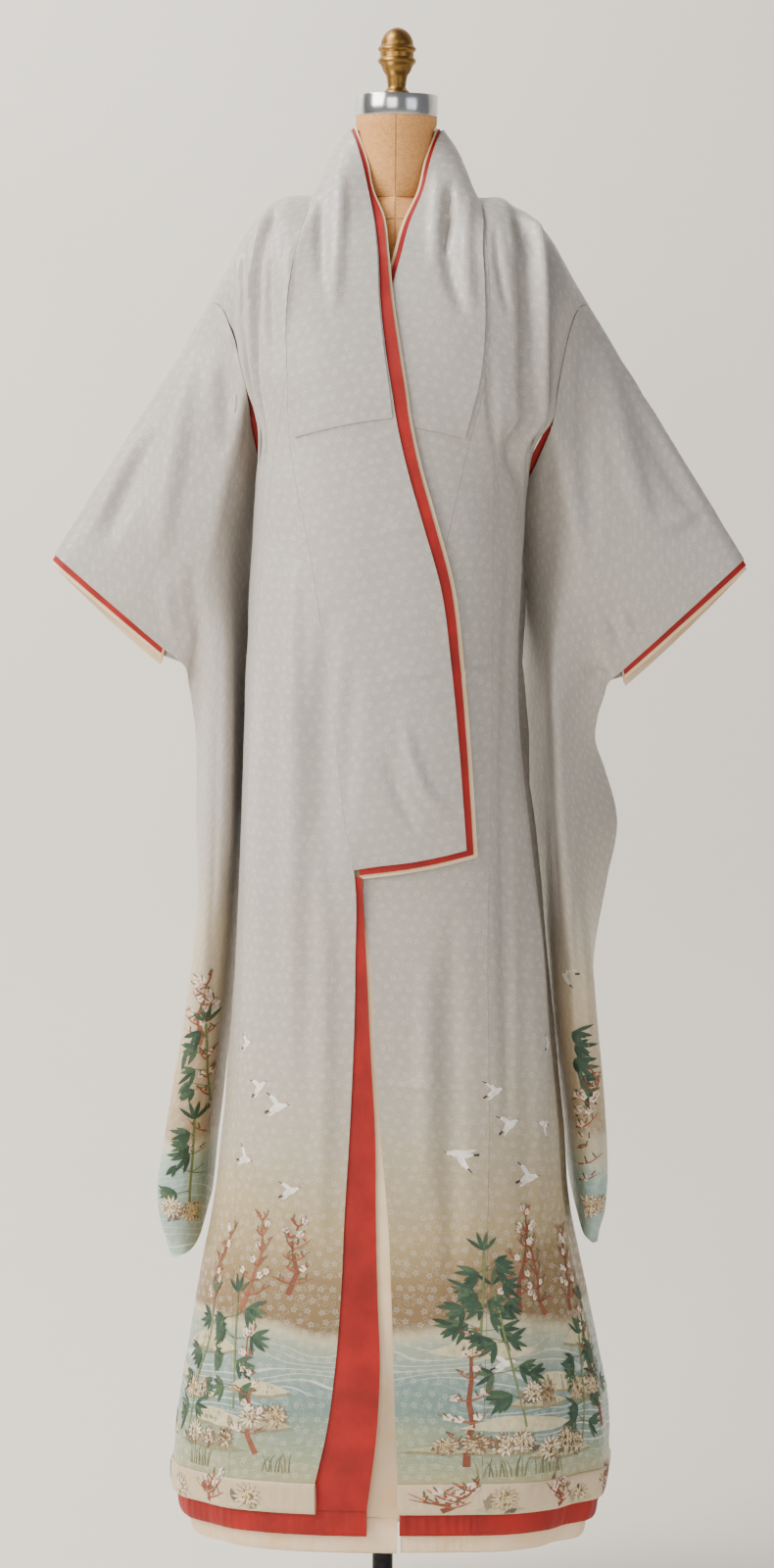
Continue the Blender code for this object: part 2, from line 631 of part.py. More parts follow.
def between(name, rows, start, finish, strips, out, thick, material, side="right"):
    """A front piece between two angles at each level."""
    grids = []
    for extra in (0.0, thick):
        grid = []
        for level in rows:
            first, last = start(level), finish(level)
            line = []
            for i in range(strips + 1):
                angle = mix(first, last, i / strips)
                lift = lap(angle, level) if side == "left" else 0.0
                line.append(skin(angle, level, out(level) + lift + extra))
            grid.append(line)
        grids.append(grid)
    return wall(name, grids[0], grids[1], material)


def okumi(side, material):
    """The narrow front panel between the body and the collar, which runs out to a point."""
    rows = [z - UNDERARM for z in LOW_ROWS] + [0.0, OKUMI_TOP]

    def near(level):
        return inner_turn(side, level) + sign(side) * SEAM_TURN

    def far(level):
        return okumi_turn(side, level) - sign(side) * SEAM_TURN

    between("okumi_" + side, rows, near, far, 4, lambda level: 0.0, CLOTH, material, side)


def collar_lines():
    """The collar's cross lines, from the left end around the neck to the right end.

    Each line is its half, side, level at the seam, seam point and edge point.
    """
    lines = []
    low = [z - UNDERARM for z in LOW_ROWS if z >= COLLAR_END]
    chest = low + [level for level in HIGH_ROWS if level < 0.6]
    for side in ("left", "right"):
        part = []
        for level in chest:
            z = height_of(level)
            rise = mix(0.026, 0.034, ease(z, 1.45, 1.82))
            part.append(("front", side, level, inner_turn(side, level), z + rise))
        for stand in STANDS:
            seam = angle_at(sign(side) * stand.seam, stand.level)
            if stand.half == "back":
                seam = sign(side) * (180 - abs(seam))
            part.append((stand.half, side, stand.level, seam, stand))
        if side == "right":
            part = part[-2::-1]
        lines += part
    return lines


def collar_point(line, share, lift):
    """A point across the collar, 0 at its seam and 1 at its outer edge."""
    half, side, level, seam, end = line
    if isinstance(end, Stand):
        start = skin(seam, level, lift if half == "front" else 0.0)
        finish = Vector((sign(side) * end.out, end.deep, end.up))
        bow = Vector((sign(side) * 0.006, 0.003 if half == "back" else -0.006, 0.004))
        return start.lerp(finish, share) + bow * math.sin(share * math.pi)
    z = mix(height_of(level), end, share)
    edge = angle_at(read(EDGES, side, end), level_of(end))
    return skin(mix(seam, edge, share), level_of(z), lift)


def collar_grid(first, last, shares, beyond=None):
    """Points over the collar for a span of its lines."""
    grid = []
    for number, line in enumerate(collar_lines()):
        if not first <= number <= last:
            continue
        lift = 0.0
        if line[1] == "left" and line[0] == "front":
            lift = lap(0.0, line[2])
        points = []
        for share in shares(number, line):
            if share > 1:
                edge = collar_point(line, 1.0, lift)
                back = collar_point(line, 0.9, lift)
                points.append(edge + (edge - back).normalized() * beyond(number, line))
            else:
                points.append(collar_point(line, share, lift))
        grid.append(points)
    return grid


def seam_locked(grid, first, out):
    """Sets the seam column just off the body's own edge."""
    for number, line in enumerate(collar_lines()):
        row = number - first
        if not 0 <= row < len(grid):
            continue
        half, side, level, seam, end = line
        lift = lap(0.0, level) if side == "left" and half == "front" else 0.0
        turn = -sign(side) * SEAM_TURN
        if half == "back":
            turn = sign(side) * SEAM_TURN
        if abs(seam) > 179:
            turn = 0.0
        grid[row][0] = skin(seam + turn, level, out + lift)
        if abs(seam) > 179:
            grid[row][0].z += 3 * SEAM
    return grid


def collar(material):
    count = len(collar_lines())
    shares = [i / COLLAR_STRIPS for i in range(COLLAR_STRIPS + 1)]
    base = collar_grid(0, count - 1, lambda number, line: shares)
    inner = seam_locked([list(line) for line in base], 0, 0.0)
    outer = seam_locked(moved(base, -CLOTH), 0, CLOTH)
    wall("collar", inner, outer, material)


def over_collar(material):
    """The second collar strip that covers the first around the neck."""
    lines = collar_lines()
    low = min(i for i, line in enumerate(lines) if line[2] > -0.05)
    high = max(i for i, line in enumerate(lines) if line[2] > -0.05)
    shares = [0.07, 0.2, 0.4, 0.6, 0.8, 0.99]
    base = collar_grid(low, high, lambda number, line: shares)
    pair = []
    for out in (CLOTH + 2 * SEAM, CLOTH + 2 * SEAM + LINING):
        pair.append([[point - normal * (out + (OVER_COLLAR_RISE if c == 0 else 0.0))
                      for c, (point, normal) in enumerate(zip(points, line))]
                     for points, line in zip(base, normals(base))])
    wall("over_collar", pair[0], pair[1], material)


def collar_layer(name, depth, show, material):
    """A silk layer under the collar that stands out beyond its edge."""
    lines = collar_lines()
    last = max(i for i, line in enumerate(lines) if line[2] > 0.2)

    def shares(number, line):
        first = mix(0.04, 0.80, ease(height_of(line[2]), 1.05, 1.75))
        return [mix(first, 1.0, i / 3) for i in range(4)] + [2.0]

    base = collar_grid(0, last, shares, show)
    first = [a + (a - b).normalized() * show(0, lines[0]) * 0.8 for a, b in zip(base[0], base[1])]
    base.insert(0, first)
    depths = []
    for line in [lines[0]] + lines[:last + 1]:
        depths.append(mix(depth.chest, depth.neck, ease(height_of(line[2]), 1.80, 1.88)))
    lines_of_normals = normals(base)
    grids = []
    for thick in (0.0, LINING * 0.75):
        grids.append([[point + normal * (under + thick) for point, normal in zip(points, line)]
                      for points, line, under in zip(base, lines_of_normals, depths)])
    wall(name, grids[0], grids[1], material)


def red_show(number, line):
    half, side, level, seam, end = line
    if isinstance(end, Stand):
        return 0.004 if end.half == "back" or end.level > 0.85 else 0.0055
    if side == "right":
        return 0.0065
    return read(EDGES, "red_left", end)


def white_show(number, line):
    half, side, level, seam, end = line
    if isinstance(end, Stand):
        return 0.0065 if end.half == "back" or end.level > 0.85 else 0.0085
    if side == "right":
        return 0.0105
    return read(EDGES, "white_left", end)


def hem_angles(side, start):
    """Angles of a hem piece, from its front end to the back middle."""
    level = LOW_ROWS[0] - UNDERARM
    turns = [okumi_turn(side, level) * sign(side)]
    turns += front_columns(side, level)[1:] + back_columns(side, level)[::-1][1:]
    turns = [start] + [sign(side) * turn for turn in turns if sign(side) * turn != start]
    first = [mix(turns[0], turns[1], i / 4) for i in range(4)]
    return first + turns[1:]


def roll(name, angles, section, side, material):
    """A padded roll along the hem, its section given as distance out and height."""
    rings = []
    for angle in angles:
        lift = lap(angle, HEM - UNDERARM) if side == "left" else 0.0
        rings.append([skin(angle, z - UNDERARM, out + lift) for out, z in section])
    tube(name, rings, material)


def flat_section(padding):
    """The section of a padded band that is taller than it is thick."""
    out, half, low, high = padding
    soft = min(half * 1.4, (high - low) * 0.3)
    return [(out - half * 0.55, low), (out + half * 0.55, low), (out + half, low + soft),
            (out + half, high - soft), (out + half * 0.55, high), (out - half * 0.55, high),
            (out - half, high - soft), (out - half, low + soft)]


def hem_pieces(cloth, red, white):
    level = HEM - UNDERARM
    for side in ("left", "right"):
        edge = inner_turn(side, LOW_ROWS[0] - UNDERARM)
        band = flat_section(HEM_BAND)
        roll("hem_band_" + side, hem_angles(side, edge + sign(side) * SEAM_TURN), band, side, cloth)
        start = angle_at(read(FRONTS, "red", HEM), level)
        if side == "right":
            start = angle_at(read(FRONTS, "inner_right", HEM) + 0.003, level)
        red_section = flat_section(RED_ROLL)
        roll("red_hem_" + side, hem_angles(side, start), red_section, side, red)
        start = angle_at(WHITE_ROLL_ENDS[side], level)
        white_section = flat_section(WHITE_ROLL)
        roll("white_hem_" + side, hem_angles(side, start), white_section, side, white)


def front_layers(red, white):
    """The red and white silk that shows between the two fronts below the collar."""
    rows = [RED_FRONT_LOW - UNDERARM] + [z - UNDERARM for z in LOW_ROWS[1:8]] + [RED_FRONT_TOP - UNDERARM]

    def red_left(level):
        return angle_at(read(FRONTS, "inner_left", height_of(level)) - UNDER_EDGE, level)

    def red_right(level):
        return angle_at(read(FRONTS, "red", height_of(level)), level)

    def red_depth(level):
        z = height_of(level)
        return mix(-0.0047, -0.0019, ease(z, HEM_BAND_TOP, 0.30)) - 0.0005 * ease(z, 0.90, 1.0)

    between("red_front", rows, red_left, red_right, 3, red_depth, LINING, red, "left")

    def white_left(level):
        return angle_at(read(FRONTS, "red", height_of(level)) - 0.012, level)

    def white_right(level):
        return angle_at(read(FRONTS, "inner_right", height_of(level)) + UNDER_EDGE, level)

    def white_depth(level):
        return mix(-0.0184, -0.0020, ease(height_of(level), 0.22, 0.50))

    rows = [WHITE_FRONT_LOW - UNDERARM] + [z - UNDERARM for z in LOW_ROWS[:9]]
    between("white_front", rows, white_left, white_right, 3, white_depth, LINING, white)


def curve_through(points, share):
    """A smooth line through points, at a share of its way."""
    spans = len(points) - 1
    i = min(int(share * spans), spans - 1)
    t = share * spans - i
    p0 = points[max(i - 1, 0)]
    p1, p2 = points[i], points[i + 1]
    p3 = points[min(i + 2, spans)]
    return 0.5 * ((2 * p1) + (p2 - p0) * t + (2 * p0 - 5 * p1 + 4 * p2 - p3) * t * t
                  + (3 * p1 - p0 - 3 * p2 + p3) * t ** 3)


def sleeve_middle(side, down, share):
    """The sleeve's middle surface at a distance down the cloth and a share across it."""
    table = SLEEVES[side]
    reach = SLEEVE_LENGTH - SLEEVE_CORNER
    if down > reach:
        t = (down - reach) / SLEEVE_CORNER
        share *= 1 - SLEEVE_CORNER / SLEEVE_WIDTH * (1 - math.sqrt(max(1 - t * t, 0)))
    i = max(k for k in range(len(table) - 1) if table[k].down <= down or k == 0)
    t = (down - table[i].down) / (table[i + 1].down - table[i].down)
    lines = []
    for k in (i - 1, i, i + 1, i + 2):
        row = table[min(max(k, 0), len(table) - 1)]
        lines.append(curve_through([Vector(p) for p in row[1:]], share))
    if i == 0:
        return lines[1].lerp(lines[2], t)
    before = (lines[2] - lines[0]) / (table[i + 1].down - table[i - 1].down)
    after_row = table[min(i + 2, len(table) - 1)]
    after = (lines[3] - lines[1]) / (after_row.down - table[i].down)
    if i == 1:
        before = (lines[2] - lines[1]) / (table[i + 1].down - table[i].down)
    span = table[i + 1].down - table[i].down
    rise = lines[2] - lines[1]
    return (lines[1] + before * span * t + (3 * rise - 2 * before * span - after * span) * t * t
            + (before * span + after * span - 2 * rise) * t ** 3)


def sleeve_rows(side):
    """Distances down the cloth: from the hem of the sleeve up to its fold."""
    end = ARMHOLE_END[side]
    rows = [(down, None) for down in SLEEVE_ROWS]
    for level in HIGH_ROWS:
        if level >= end:
            rows.append((CUFF * (1 - (level - end) / (1 - end)), level))
    return rows + [(0.0, 1.0)]


def sleeve_grid(side):
    """The sleeve's cloth: up its front, over the fold at its top and down its back."""
    rows = sleeve_rows(side)
    middle = [[sleeve_middle(side, down, share) for share in SLEEVE_COLUMNS] for down, level in rows]
    facing = normals(middle)
    grid = []
    for turn in (-1, 1):
        part = []
        for (down, level), points, line in zip(rows, middle, facing):
            if level == 1.0:
                if turn == -1:
                    part.append(points)
                continue
            row = []
            for share, point, normal in zip(SLEEVE_COLUMNS, points, line):
                facing_front = Vector((0, -1, 0)) * -sign(side)
                normal = facing_front.lerp(normal, ease(down, *SPACE_TURN)).normalized()
                half = mix(read(SPACES, "inner", down), read(SPACES, "outer", down), share)
                row.append(point + normal * half * turn * sign(side))
                if turn == 1 and down < CUFF:
                    drop = BACK_CUFF_DROP * math.sin(down / CUFF * math.pi * 0.75) * share ** 2
                    row[-1].z -= drop
            part.append(row)
        grid += part if turn == -1 else part[::-1]
    return grid


def sleeve_levels(side):
    rows = sleeve_rows(side)
    front = [("front", down, level) for down, level in rows]
    return front + [("back", down, level) for down, level in rows[-2::-1]]


def sleeve(side, cloth):
    base = sleeve_grid(side)
    inner = [list(line) for line in base]
    outer = moved(base, -sign(side) * CLOTH)
    for r, (half, down, level) in enumerate(sleeve_levels(side)):
        flat_out = Vector((0, -1 if half == "front" else 1, 0))
        if down == SLEEVE_ROWS[-1]:
            soft_out = (outer[r][0] - inner[r][0]).normalized().lerp(flat_out, 0.8)
            outer[r][0] = inner[r][0] + soft_out.normalized() * CLOTH
        if level is None:
            continue
        if level == 1.0:
            shift = Vector((sign(side) * 2 * SEAM, 0, -SEAM))
            inner[r][0] = skin(sign(side) * (ARMHOLE_TURN - SEAM_TURN), 1.0, 0.0) + shift
            outer[r][0] = skin(sign(side) * (ARMHOLE_TURN - SEAM_TURN), 1.0, CLOTH) + shift
            continue
        turn = ARMHOLE_TURN + SLEEVE_SEAM_TURN
        if half == "back":
            turn = 180 - turn
        angle = sign(side) * turn
        lift = lap(angle, level) if side == "left" and half == "front" else 0.0
        edge = skin(angle, level, lift)
        body_out = (skin(angle, level, lift + CLOTH) - edge).normalized()
        corner = 1 - max(body_out.dot(flat_out), 0.0)
        corner *= 1 - ease(level, 0.5, 0.85)
        inner[r][0] = edge + body_out * (CLOTH + 2 * SEAM) * corner
        outer[r][0] = inner[r][0] + body_out.lerp(flat_out, corner).normalized() * CLOTH
    fold_row = len(sleeve_rows(side)) - 1
    wall("sleeve_" + side, inner, outer, cloth, fold_row)


def cuff_layer(name, side, layer, material):
    """A silk layer inside the sleeve that stands out beyond the cuff."""
    grid = sleeve_grid(side)
    inward = moved(grid, sign(side) * layer.depth)
    deeper = moved(grid, sign(side) * (layer.depth + LINING))
    pair = []
    for part in (inward, deeper):
        rows = []
        for line, (half, down, level) in zip(part, sleeve_levels(side)):
            if level is None or down > CUFF - 0.001:
                continue
            edge, back = line[-1], line[-2]
            step = (edge - back).normalized()
            rows.append([back.lerp(edge, 0.3), edge, edge + step * layer.show])
        pair.append(rows)
    wall(name, pair[0], pair[1], material)


def underarm(side, material):
    """The red silk that shows in the slit under the arm."""
    grid = sleeve_grid(side)
    pair = []
    for depth in (UNDERARM_DEPTH, UNDERARM_DEPTH + LINING):
        part = moved(grid, sign(side) * depth)
        facing = normals(part)
        rows = []
        for r, (half, down, level) in enumerate(sleeve_levels(side)):
            if half == "front" and SLITS[0].down <= round(down, 3) <= SLITS[-1].down:
                edge, next_in = part[r][0], part[r][1]
                past_edge = (part[r + 1][0] - part[r - 1][0]).cross(facing[r][0]).normalized()
                past_edge *= math.copysign(UNDERARM_TURN, past_edge.dot(edge - next_in))
                toward_body = Vector((-sign(side) * read(SLITS, side, down), 0, 0))
                rows.append([edge + past_edge + toward_body, edge + past_edge, next_in])
        pair.append(rows)
    wall("red_underarm_" + side, pair[0], pair[1], material)


def turned(name, profile, sides, material):
    """A round solid from a profile of heights and radii."""
    rings = []
    for row in profile:
        rings.append([Vector((row.radius * math.cos(2 * math.pi * i / sides),
                              row.radius * math.sin(2 * math.pi * i / sides), row.z))
                      for i in range(sides)])
    return tube(name, rings, material)


def dress_form(linen, chrome, brass, steel):
    """The form that the kimono hangs on: torso, neck ring, finial, pole and base."""
    sides = 40
    rings = []
    for section in TORSO:
        ring = []
        for i in range(sides):
            turn = 2 * math.pi * i / sides
            c, s = math.cos(turn), math.sin(turn)
            power = 2 / section.round
            depth = section.back if s > 0 else section.front
            x = math.copysign(abs(c) ** power, c) * section.half
            y = math.copysign(abs(s) ** power, s) * depth
            ring.append(Vector((x, y, section.z)))
        rings.append(ring)
    tube("form_torso", rings, linen)
    ring = [Turned(RING_BOTTOM, RING_RADIUS - 0.0008), Turned(RING_BOTTOM + 0.001, RING_RADIUS),
            Turned(RING_TOP - 0.0012, RING_RADIUS), Turned(RING_TOP, RING_RADIUS - 0.0012)]
    turned("form_neck_ring", ring, 40, chrome)
    turned("form_finial", FINIAL, 24, brass)
    pole = [Turned(HUB_TOP + SEAM, POLE_RADIUS), Turned(FORM_BOTTOM - SEAM, POLE_RADIUS)]
    turned("form_pole", pole, 20, steel)
    base = [Turned(0.0, BASE_RADIUS), Turned(BASE_EDGE, BASE_RADIUS),
            Turned(BASE_THICK, BASE_RADIUS - 0.008), Turned(BASE_THICK + 0.006, HUB_RADIUS + 0.01),
            Turned(BASE_THICK + 0.010, HUB_RADIUS), Turned(HUB_TOP - 0.003, HUB_RADIUS - 0.004),
            Turned(HUB_TOP, HUB_RADIUS - 0.007)]
    turned("form_base", base, 40, steel)


def build():
    for old in list(bpy.data.objects):
        bpy.data.objects.remove(old, do_unlink=True)
    cloth = colour_material("silver grey figured silk", (0.42, 0.42, 0.42), 0.5)
    band = colour_material("cream hem silk", (0.62, 0.56, 0.42), 0.55)
    red = colour_material("vermilion silk", (0.78, 0.045, 0.01), 0.55)
    white = colour_material("cream white satin", (0.82, 0.76, 0.64), 0.45)
    linen = colour_material("tan linen", (0.50, 0.30, 0.14), 0.85)
    chrome = colour_material("chrome", (0.75, 0.75, 0.75), 0.15, 1.0)
    brass = colour_material("aged brass paint", (0.35, 0.20, 0.07), 0.4, 0.7)
    steel = colour_material("dark steel", (0.10, 0.10, 0.11), 0.45, 0.9)
    for side in ("left", "right"):
        body_panel(side, cloth)
        okumi(side, cloth)
        sleeve(side, cloth)
        cuff_layer("red_cuff_" + side, side, CUFF_RED, red)
        cuff_layer("white_cuff_" + side, side, CUFF_WHITE, white)
        underarm(side, red)
    collar(cloth)
    over_collar(cloth)
    collar_layer("red_collar", RED_COLLAR, red_show, red)
    collar_layer("white_collar", WHITE_COLLAR, white_show, white)
    front_layers(red, white)
    hem_pieces(band, red, white)
    dress_form(linen, chrome, brass, steel)


build()
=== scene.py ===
"""Silk kimono worn open on a dress form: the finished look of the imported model, in metres.

Left and right are as seen from the front. -Y is the front and the origin is under the base.
"""
import math
import random
from collections import namedtuple

import bpy
import numpy as np
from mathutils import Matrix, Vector
from mathutils.bvhtree import BVHTree


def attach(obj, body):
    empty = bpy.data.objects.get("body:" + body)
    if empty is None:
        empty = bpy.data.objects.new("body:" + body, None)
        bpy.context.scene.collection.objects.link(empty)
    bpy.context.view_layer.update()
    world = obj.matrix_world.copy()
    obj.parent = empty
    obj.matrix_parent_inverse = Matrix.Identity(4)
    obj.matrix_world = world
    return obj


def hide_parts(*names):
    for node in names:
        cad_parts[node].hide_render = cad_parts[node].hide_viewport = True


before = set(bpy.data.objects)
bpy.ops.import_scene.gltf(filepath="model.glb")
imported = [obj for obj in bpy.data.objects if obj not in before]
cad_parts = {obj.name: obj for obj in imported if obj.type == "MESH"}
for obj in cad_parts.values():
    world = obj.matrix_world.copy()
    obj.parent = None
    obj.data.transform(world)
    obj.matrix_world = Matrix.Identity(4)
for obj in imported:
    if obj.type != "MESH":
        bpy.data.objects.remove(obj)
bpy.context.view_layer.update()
bpy.ops.object.select_all(action="DESELECT")
random.seed(7)


# The room: a pale painted wall that runs into the floor with a soft curve, a large window light
# from the upper left, and a weak fill. The camera stands 6 m away, as a photographer's would.
CAMERA_AWAY = 6.0
CAMERA_TILT = 3.5          # degrees looked down
CAMERA_ROLL = 0.55
AIM_HEIGHT = 1.127
HALF_VIEW = 1.04           # half the height of what the photo covers, at the kimono
AIM_SIDE = -0.0040


def colour(hex_code):
    """A colour picked as sRGB, as linear light."""
    parts = [int(hex_code[i:i + 2], 16) / 255 for i in (1, 3, 5)]
    return [p / 12.92 if p <= 0.04045 else ((p + 0.055) / 1.055) ** 2.4 for p in parts] + [1.0]


def add(tree, kind, links=None, **settings):
    """Adds a shader node with its settings, and sets or links its inputs.

    A node given for an input stands for its first output.
    """
    made = tree.nodes.new("ShaderNode" + kind)
    for name, value in settings.items():
        setattr(made, name, value)
    for socket, value in (links or {}).items():
        if isinstance(value, bpy.types.Node):
            value = value.outputs[0]
        if isinstance(value, bpy.types.NodeSocket):
            tree.links.new(value, made.inputs[socket])
        else:
            made.inputs[socket].default_value = value
    return made


def new_material(name):
    material = bpy.data.materials.new(name)
    material.use_nodes = True
    tree = material.node_tree
    return material, tree, tree.nodes["Principled BSDF"]


def keep_straight(piece, material):
    bpy.context.scene.collection.objects.link(piece)
    piece.data.materials.append(material)
    return piece


# Matt wall paint: one pale colour with the faint unevenness of a roller
wall_paint, tree, shader = new_material("matt_wall_paint")
place = add(tree, "TexCoord")
uneven = add(tree, "TexNoise", {"Vector": place.outputs["Object"], "Scale": 2.0, "Detail": 3.0})
paint = add(tree, "Mix", {0: uneven, 6: colour("#F3EFE6"), 7: colour("#EDE8DD")}, data_type="RGBA")
tree.links.new(paint.outputs[2], shader.inputs["Base Color"])
shader.inputs["Roughness"].default_value = 0.95
# from behind, the wall lets a camera see the garment's back
side_seen = add(tree, "NewGeometry")
clear = add(tree, "BsdfTransparent")
one_sided = add(tree, "MixShader", {0: side_seen.outputs["Backfacing"], 1: shader, 2: clear})
tree.links.new(one_sided.outputs[0], tree.nodes["Material Output"].inputs["Surface"])

outline = [(-9.0, 0.0), (0.55, 0.0)]
outline += [(0.55 + 0.9 * math.sin(a), 0.9 - 0.9 * math.cos(a)) for a in np.linspace(0.06, math.pi / 2, 16)]
outline += [(1.45, 6.0)]
points = [(x, y, z) for y, z in outline for x in (-7.0, 7.0)]
faces = [(2 * i, 2 * i + 1, 2 * i + 3, 2 * i + 2) for i in range(len(outline) - 1)]
mesh = bpy.data.meshes.new("studio_wall_and_floor")
mesh.from_pydata(points, [], faces)
mesh.shade_smooth()
studio = keep_straight(bpy.data.objects.new("studio_wall_and_floor", mesh), wall_paint)

Lamp = namedtuple("Lamp", "name x y z size watts tone aim_x aim_z")
LAMPS = [
    Lamp("window", -3.6, -2.6, 3.2, 2.6, 222, "#FFF8EE", 0.0, 1.35),
    Lamp("fill", 4.2, -4.6, 2.4, 3.0, 56, "#F3F4FF", 0.0, 1.2),
    Lamp("front", -1.2, -5.4, 2.6, 2.4, 70, "#FFF9F2", 0.0, 1.2),
    Lamp("wall_wash", -2.4, -0.7, 4.8, 2.0, 230, "#FFFFFF", -1.2, 2.2),
]
for lamp in LAMPS:
    light = bpy.data.lights.new(lamp.name, "AREA")
    light.energy = lamp.watts
    light.size = lamp.size
    light.color = colour(lamp.tone)[:3]
    holder = bpy.data.objects.new(lamp.name, light)
    bpy.context.scene.collection.objects.link(holder)
    holder.location = (lamp.x, lamp.y, lamp.z)
    aim = Vector((lamp.aim_x, 0.0, lamp.aim_z)) - holder.location
    holder.rotation_euler = aim.to_track_quat("-Z", "Y").to_euler()

world = bpy.data.worlds.new("soft_room_light")
world.use_nodes = True
world.node_tree.nodes["Background"].inputs[0].default_value = colour("#F4F5F7")
world.node_tree.nodes["Background"].inputs[1].default_value = 0.25
bpy.context.scene.world = world

tilt = math.radians(CAMERA_TILT)
camera_data = bpy.data.cameras.new("camera")
camera_data.sensor_fit = "VERTICAL"
camera_data.sensor_height = 24.0
camera_data.lens = 12.0 * CAMERA_AWAY / HALF_VIEW
camera = bpy.data.objects.new("camera", camera_data)
bpy.context.scene.collection.objects.link(camera)
camera.location = (AIM_SIDE, -CAMERA_AWAY * math.cos(tilt), AIM_HEIGHT + CAMERA_AWAY * math.sin(tilt))
look = Vector((AIM_SIDE, 0.0, AIM_HEIGHT)) - camera.location
turn = look.to_track_quat("-Z", "Y").to_matrix()
roll = math.radians(CAMERA_ROLL)
camera.rotation_euler = (turn @ Vector((1, 0, 0)).to_track_quat("X", "Z").to_matrix()).to_euler()
camera.rotation_euler.rotate_axis("Z", roll)
bpy.context.scene.camera = camera


# The two body lengths: figured silk, each one length from the front hem over the shoulder to the
# back hem, sewn to the other down the back middle and left open at the side under the arm.
CLOTH = 0.0016
SHOWN_CLOTH = 0.0010       # what the eye sees of the wall's thickness
SEAM = 0.0003
SEAM_TURN = 0.06
ROUND = 2.5
HEM = 0.187
HEM_BAND_TOP = 0.2277
COLLAR_END = 1.025
UNDERARM = 1.61
SHOULDER = 1.900
LAP_COLLAR = 0.011
LAP_HEM = 0.004
ARMHOLE_TURN = 72.0
OKUMI_TOP = 0.1
BODY_STRIPS = 7
ShoulderCrease = namedtuple("ShoulderCrease", "turn drift apart closing share")
SHOULDER_CREASES = {
    "left": ShoulderCrease(60, 31, 8, 0, 0.66),
    "right": ShoulderCrease(49, 20, 19, 6, 0.72),
}
CREASE_EDGE = 5
CREASE_ROOM = 3
SPACING = 0.0062           # distance between the threads of the modelling mesh

Body = namedtuple("Body", "z left right front back")
BODY = [
    Body(0.120, 0.272, 0.288, 0.183, 0.178),
    Body(0.187, 0.279, 0.294, 0.184, 0.176),
    Body(0.250, 0.281, 0.301, 0.183, 0.173),
    Body(0.305, 0.273, 0.297, 0.180, 0.170),
    Body(0.370, 0.263, 0.284, 0.176, 0.165),
    Body(0.470, 0.247, 0.262, 0.170, 0.157),
    Body(0.560, 0.231, 0.242, 0.165, 0.150),
    Body(0.680, 0.217, 0.231, 0.160, 0.143),
    Body(0.790, 0.209, 0.219, 0.157, 0.138),
    Body(0.900, 0.202, 0.207, 0.155, 0.134),
    Body(1.040, 0.197, 0.189, 0.153, 0.131),
    Body(1.260, 0.192, 0.170, 0.152, 0.130),
    Body(1.390, 0.187, 0.171, 0.151, 0.129),
    Body(1.520, 0.180, 0.176, 0.150, 0.128),
    Body(1.580, 0.1800, 0.192, 0.150, 0.127),
    Body(1.610, 0.1850, 0.216, 0.149, 0.126),
]

Shoulder = namedtuple("Shoulder", "level left right front back")
SHOULDERS = [
    Shoulder(0.00, 0.1850, 0.216, 0.149, 0.126),
    Shoulder(0.10, 0.1990, 0.221, 0.149, 0.126),
    Shoulder(0.25, 0.212, 0.229, 0.148, 0.125),
    Shoulder(0.50, 0.230, 0.243, 0.147, 0.124),
    Shoulder(0.75, 0.248, 0.258, 0.146, 0.123),
    Shoulder(1.00, 0.263, 0.271, 0.146, 0.122),
]

Top = namedtuple("Top", "out left right")
SHOULDER_LINE = [
    Top(0.000, 1.900, 1.900),
    Top(0.137, 1.900, 1.900),
    Top(0.160, 1.891, 1.885),
    Top(0.185, 1.867, 1.872),
    Top(0.205, 1.832, 1.843),
    Top(0.242, 1.763, 1.783),
    Top(0.260, 1.728, 1.753),
    Top(0.280, 1.692, 1.722),
]

Front = namedtuple("Front", "z okumi_left okumi_right inner_left inner_right red")
FRONTS = [
    Front(0.120, -0.1985, 0.126, -0.108, 0.0230, -0.030),
    Front(0.187, -0.1985, 0.126, -0.096, 0.0195, -0.022),
    Front(0.228, -0.1980, 0.127, -0.087, 0.0180, -0.016),
    Front(0.300, -0.1980, 0.1285, -0.072, 0.0145, -0.009),
    Front(0.380, -0.1970, 0.130, -0.0625, 0.0110, -0.006),
    Front(0.470, -0.1960, 0.131, -0.0560, 0.0075, -0.010),
    Front(0.570, -0.1950, 0.1315, -0.0525, 0.0020, -0.013),
    Front(0.680, -0.1930, 0.1325, -0.0470, -0.0085, -0.015),
    Front(0.790, -0.1915, 0.131, -0.0430, -0.0170, -0.022),
    Front(0.900, -0.1890, 0.1285, -0.0415, -0.0225, -0.028),
    Front(1.025, -0.1850, 0.129, -0.0430, -0.0315, -0.034),
    Front(1.085, -0.1830, 0.130, -0.0550, -0.0094, -0.036),
    Front(1.263, -0.1720, 0.130, -0.0760, 0.0330, -0.036),
    Front(1.378, -0.1630, 0.130, -0.0912, 0.0570, -0.036),
    Front(1.450, -0.1570, 0.130, -0.1030, 0.0700, -0.036),
    Front(1.570, -0.1435, 0.1285, -0.1250, 0.0960, -0.036),
    Front(1.662, -0.1330, 0.1195, -0.1315, 0.1180, -0.036),
    Front(1.732, -0.1348, 0.121, -0.1348, 0.1230, -0.036),
    Front(1.834, -0.1240, 0.117, -0.1240, 0.1185, -0.036),
    Front(1.880, -0.1120, 0.110, -0.1120, 0.1120, -0.036),
    Front(1.900, -0.0980, 0.100, -0.0980, 0.1000, -0.036),
]

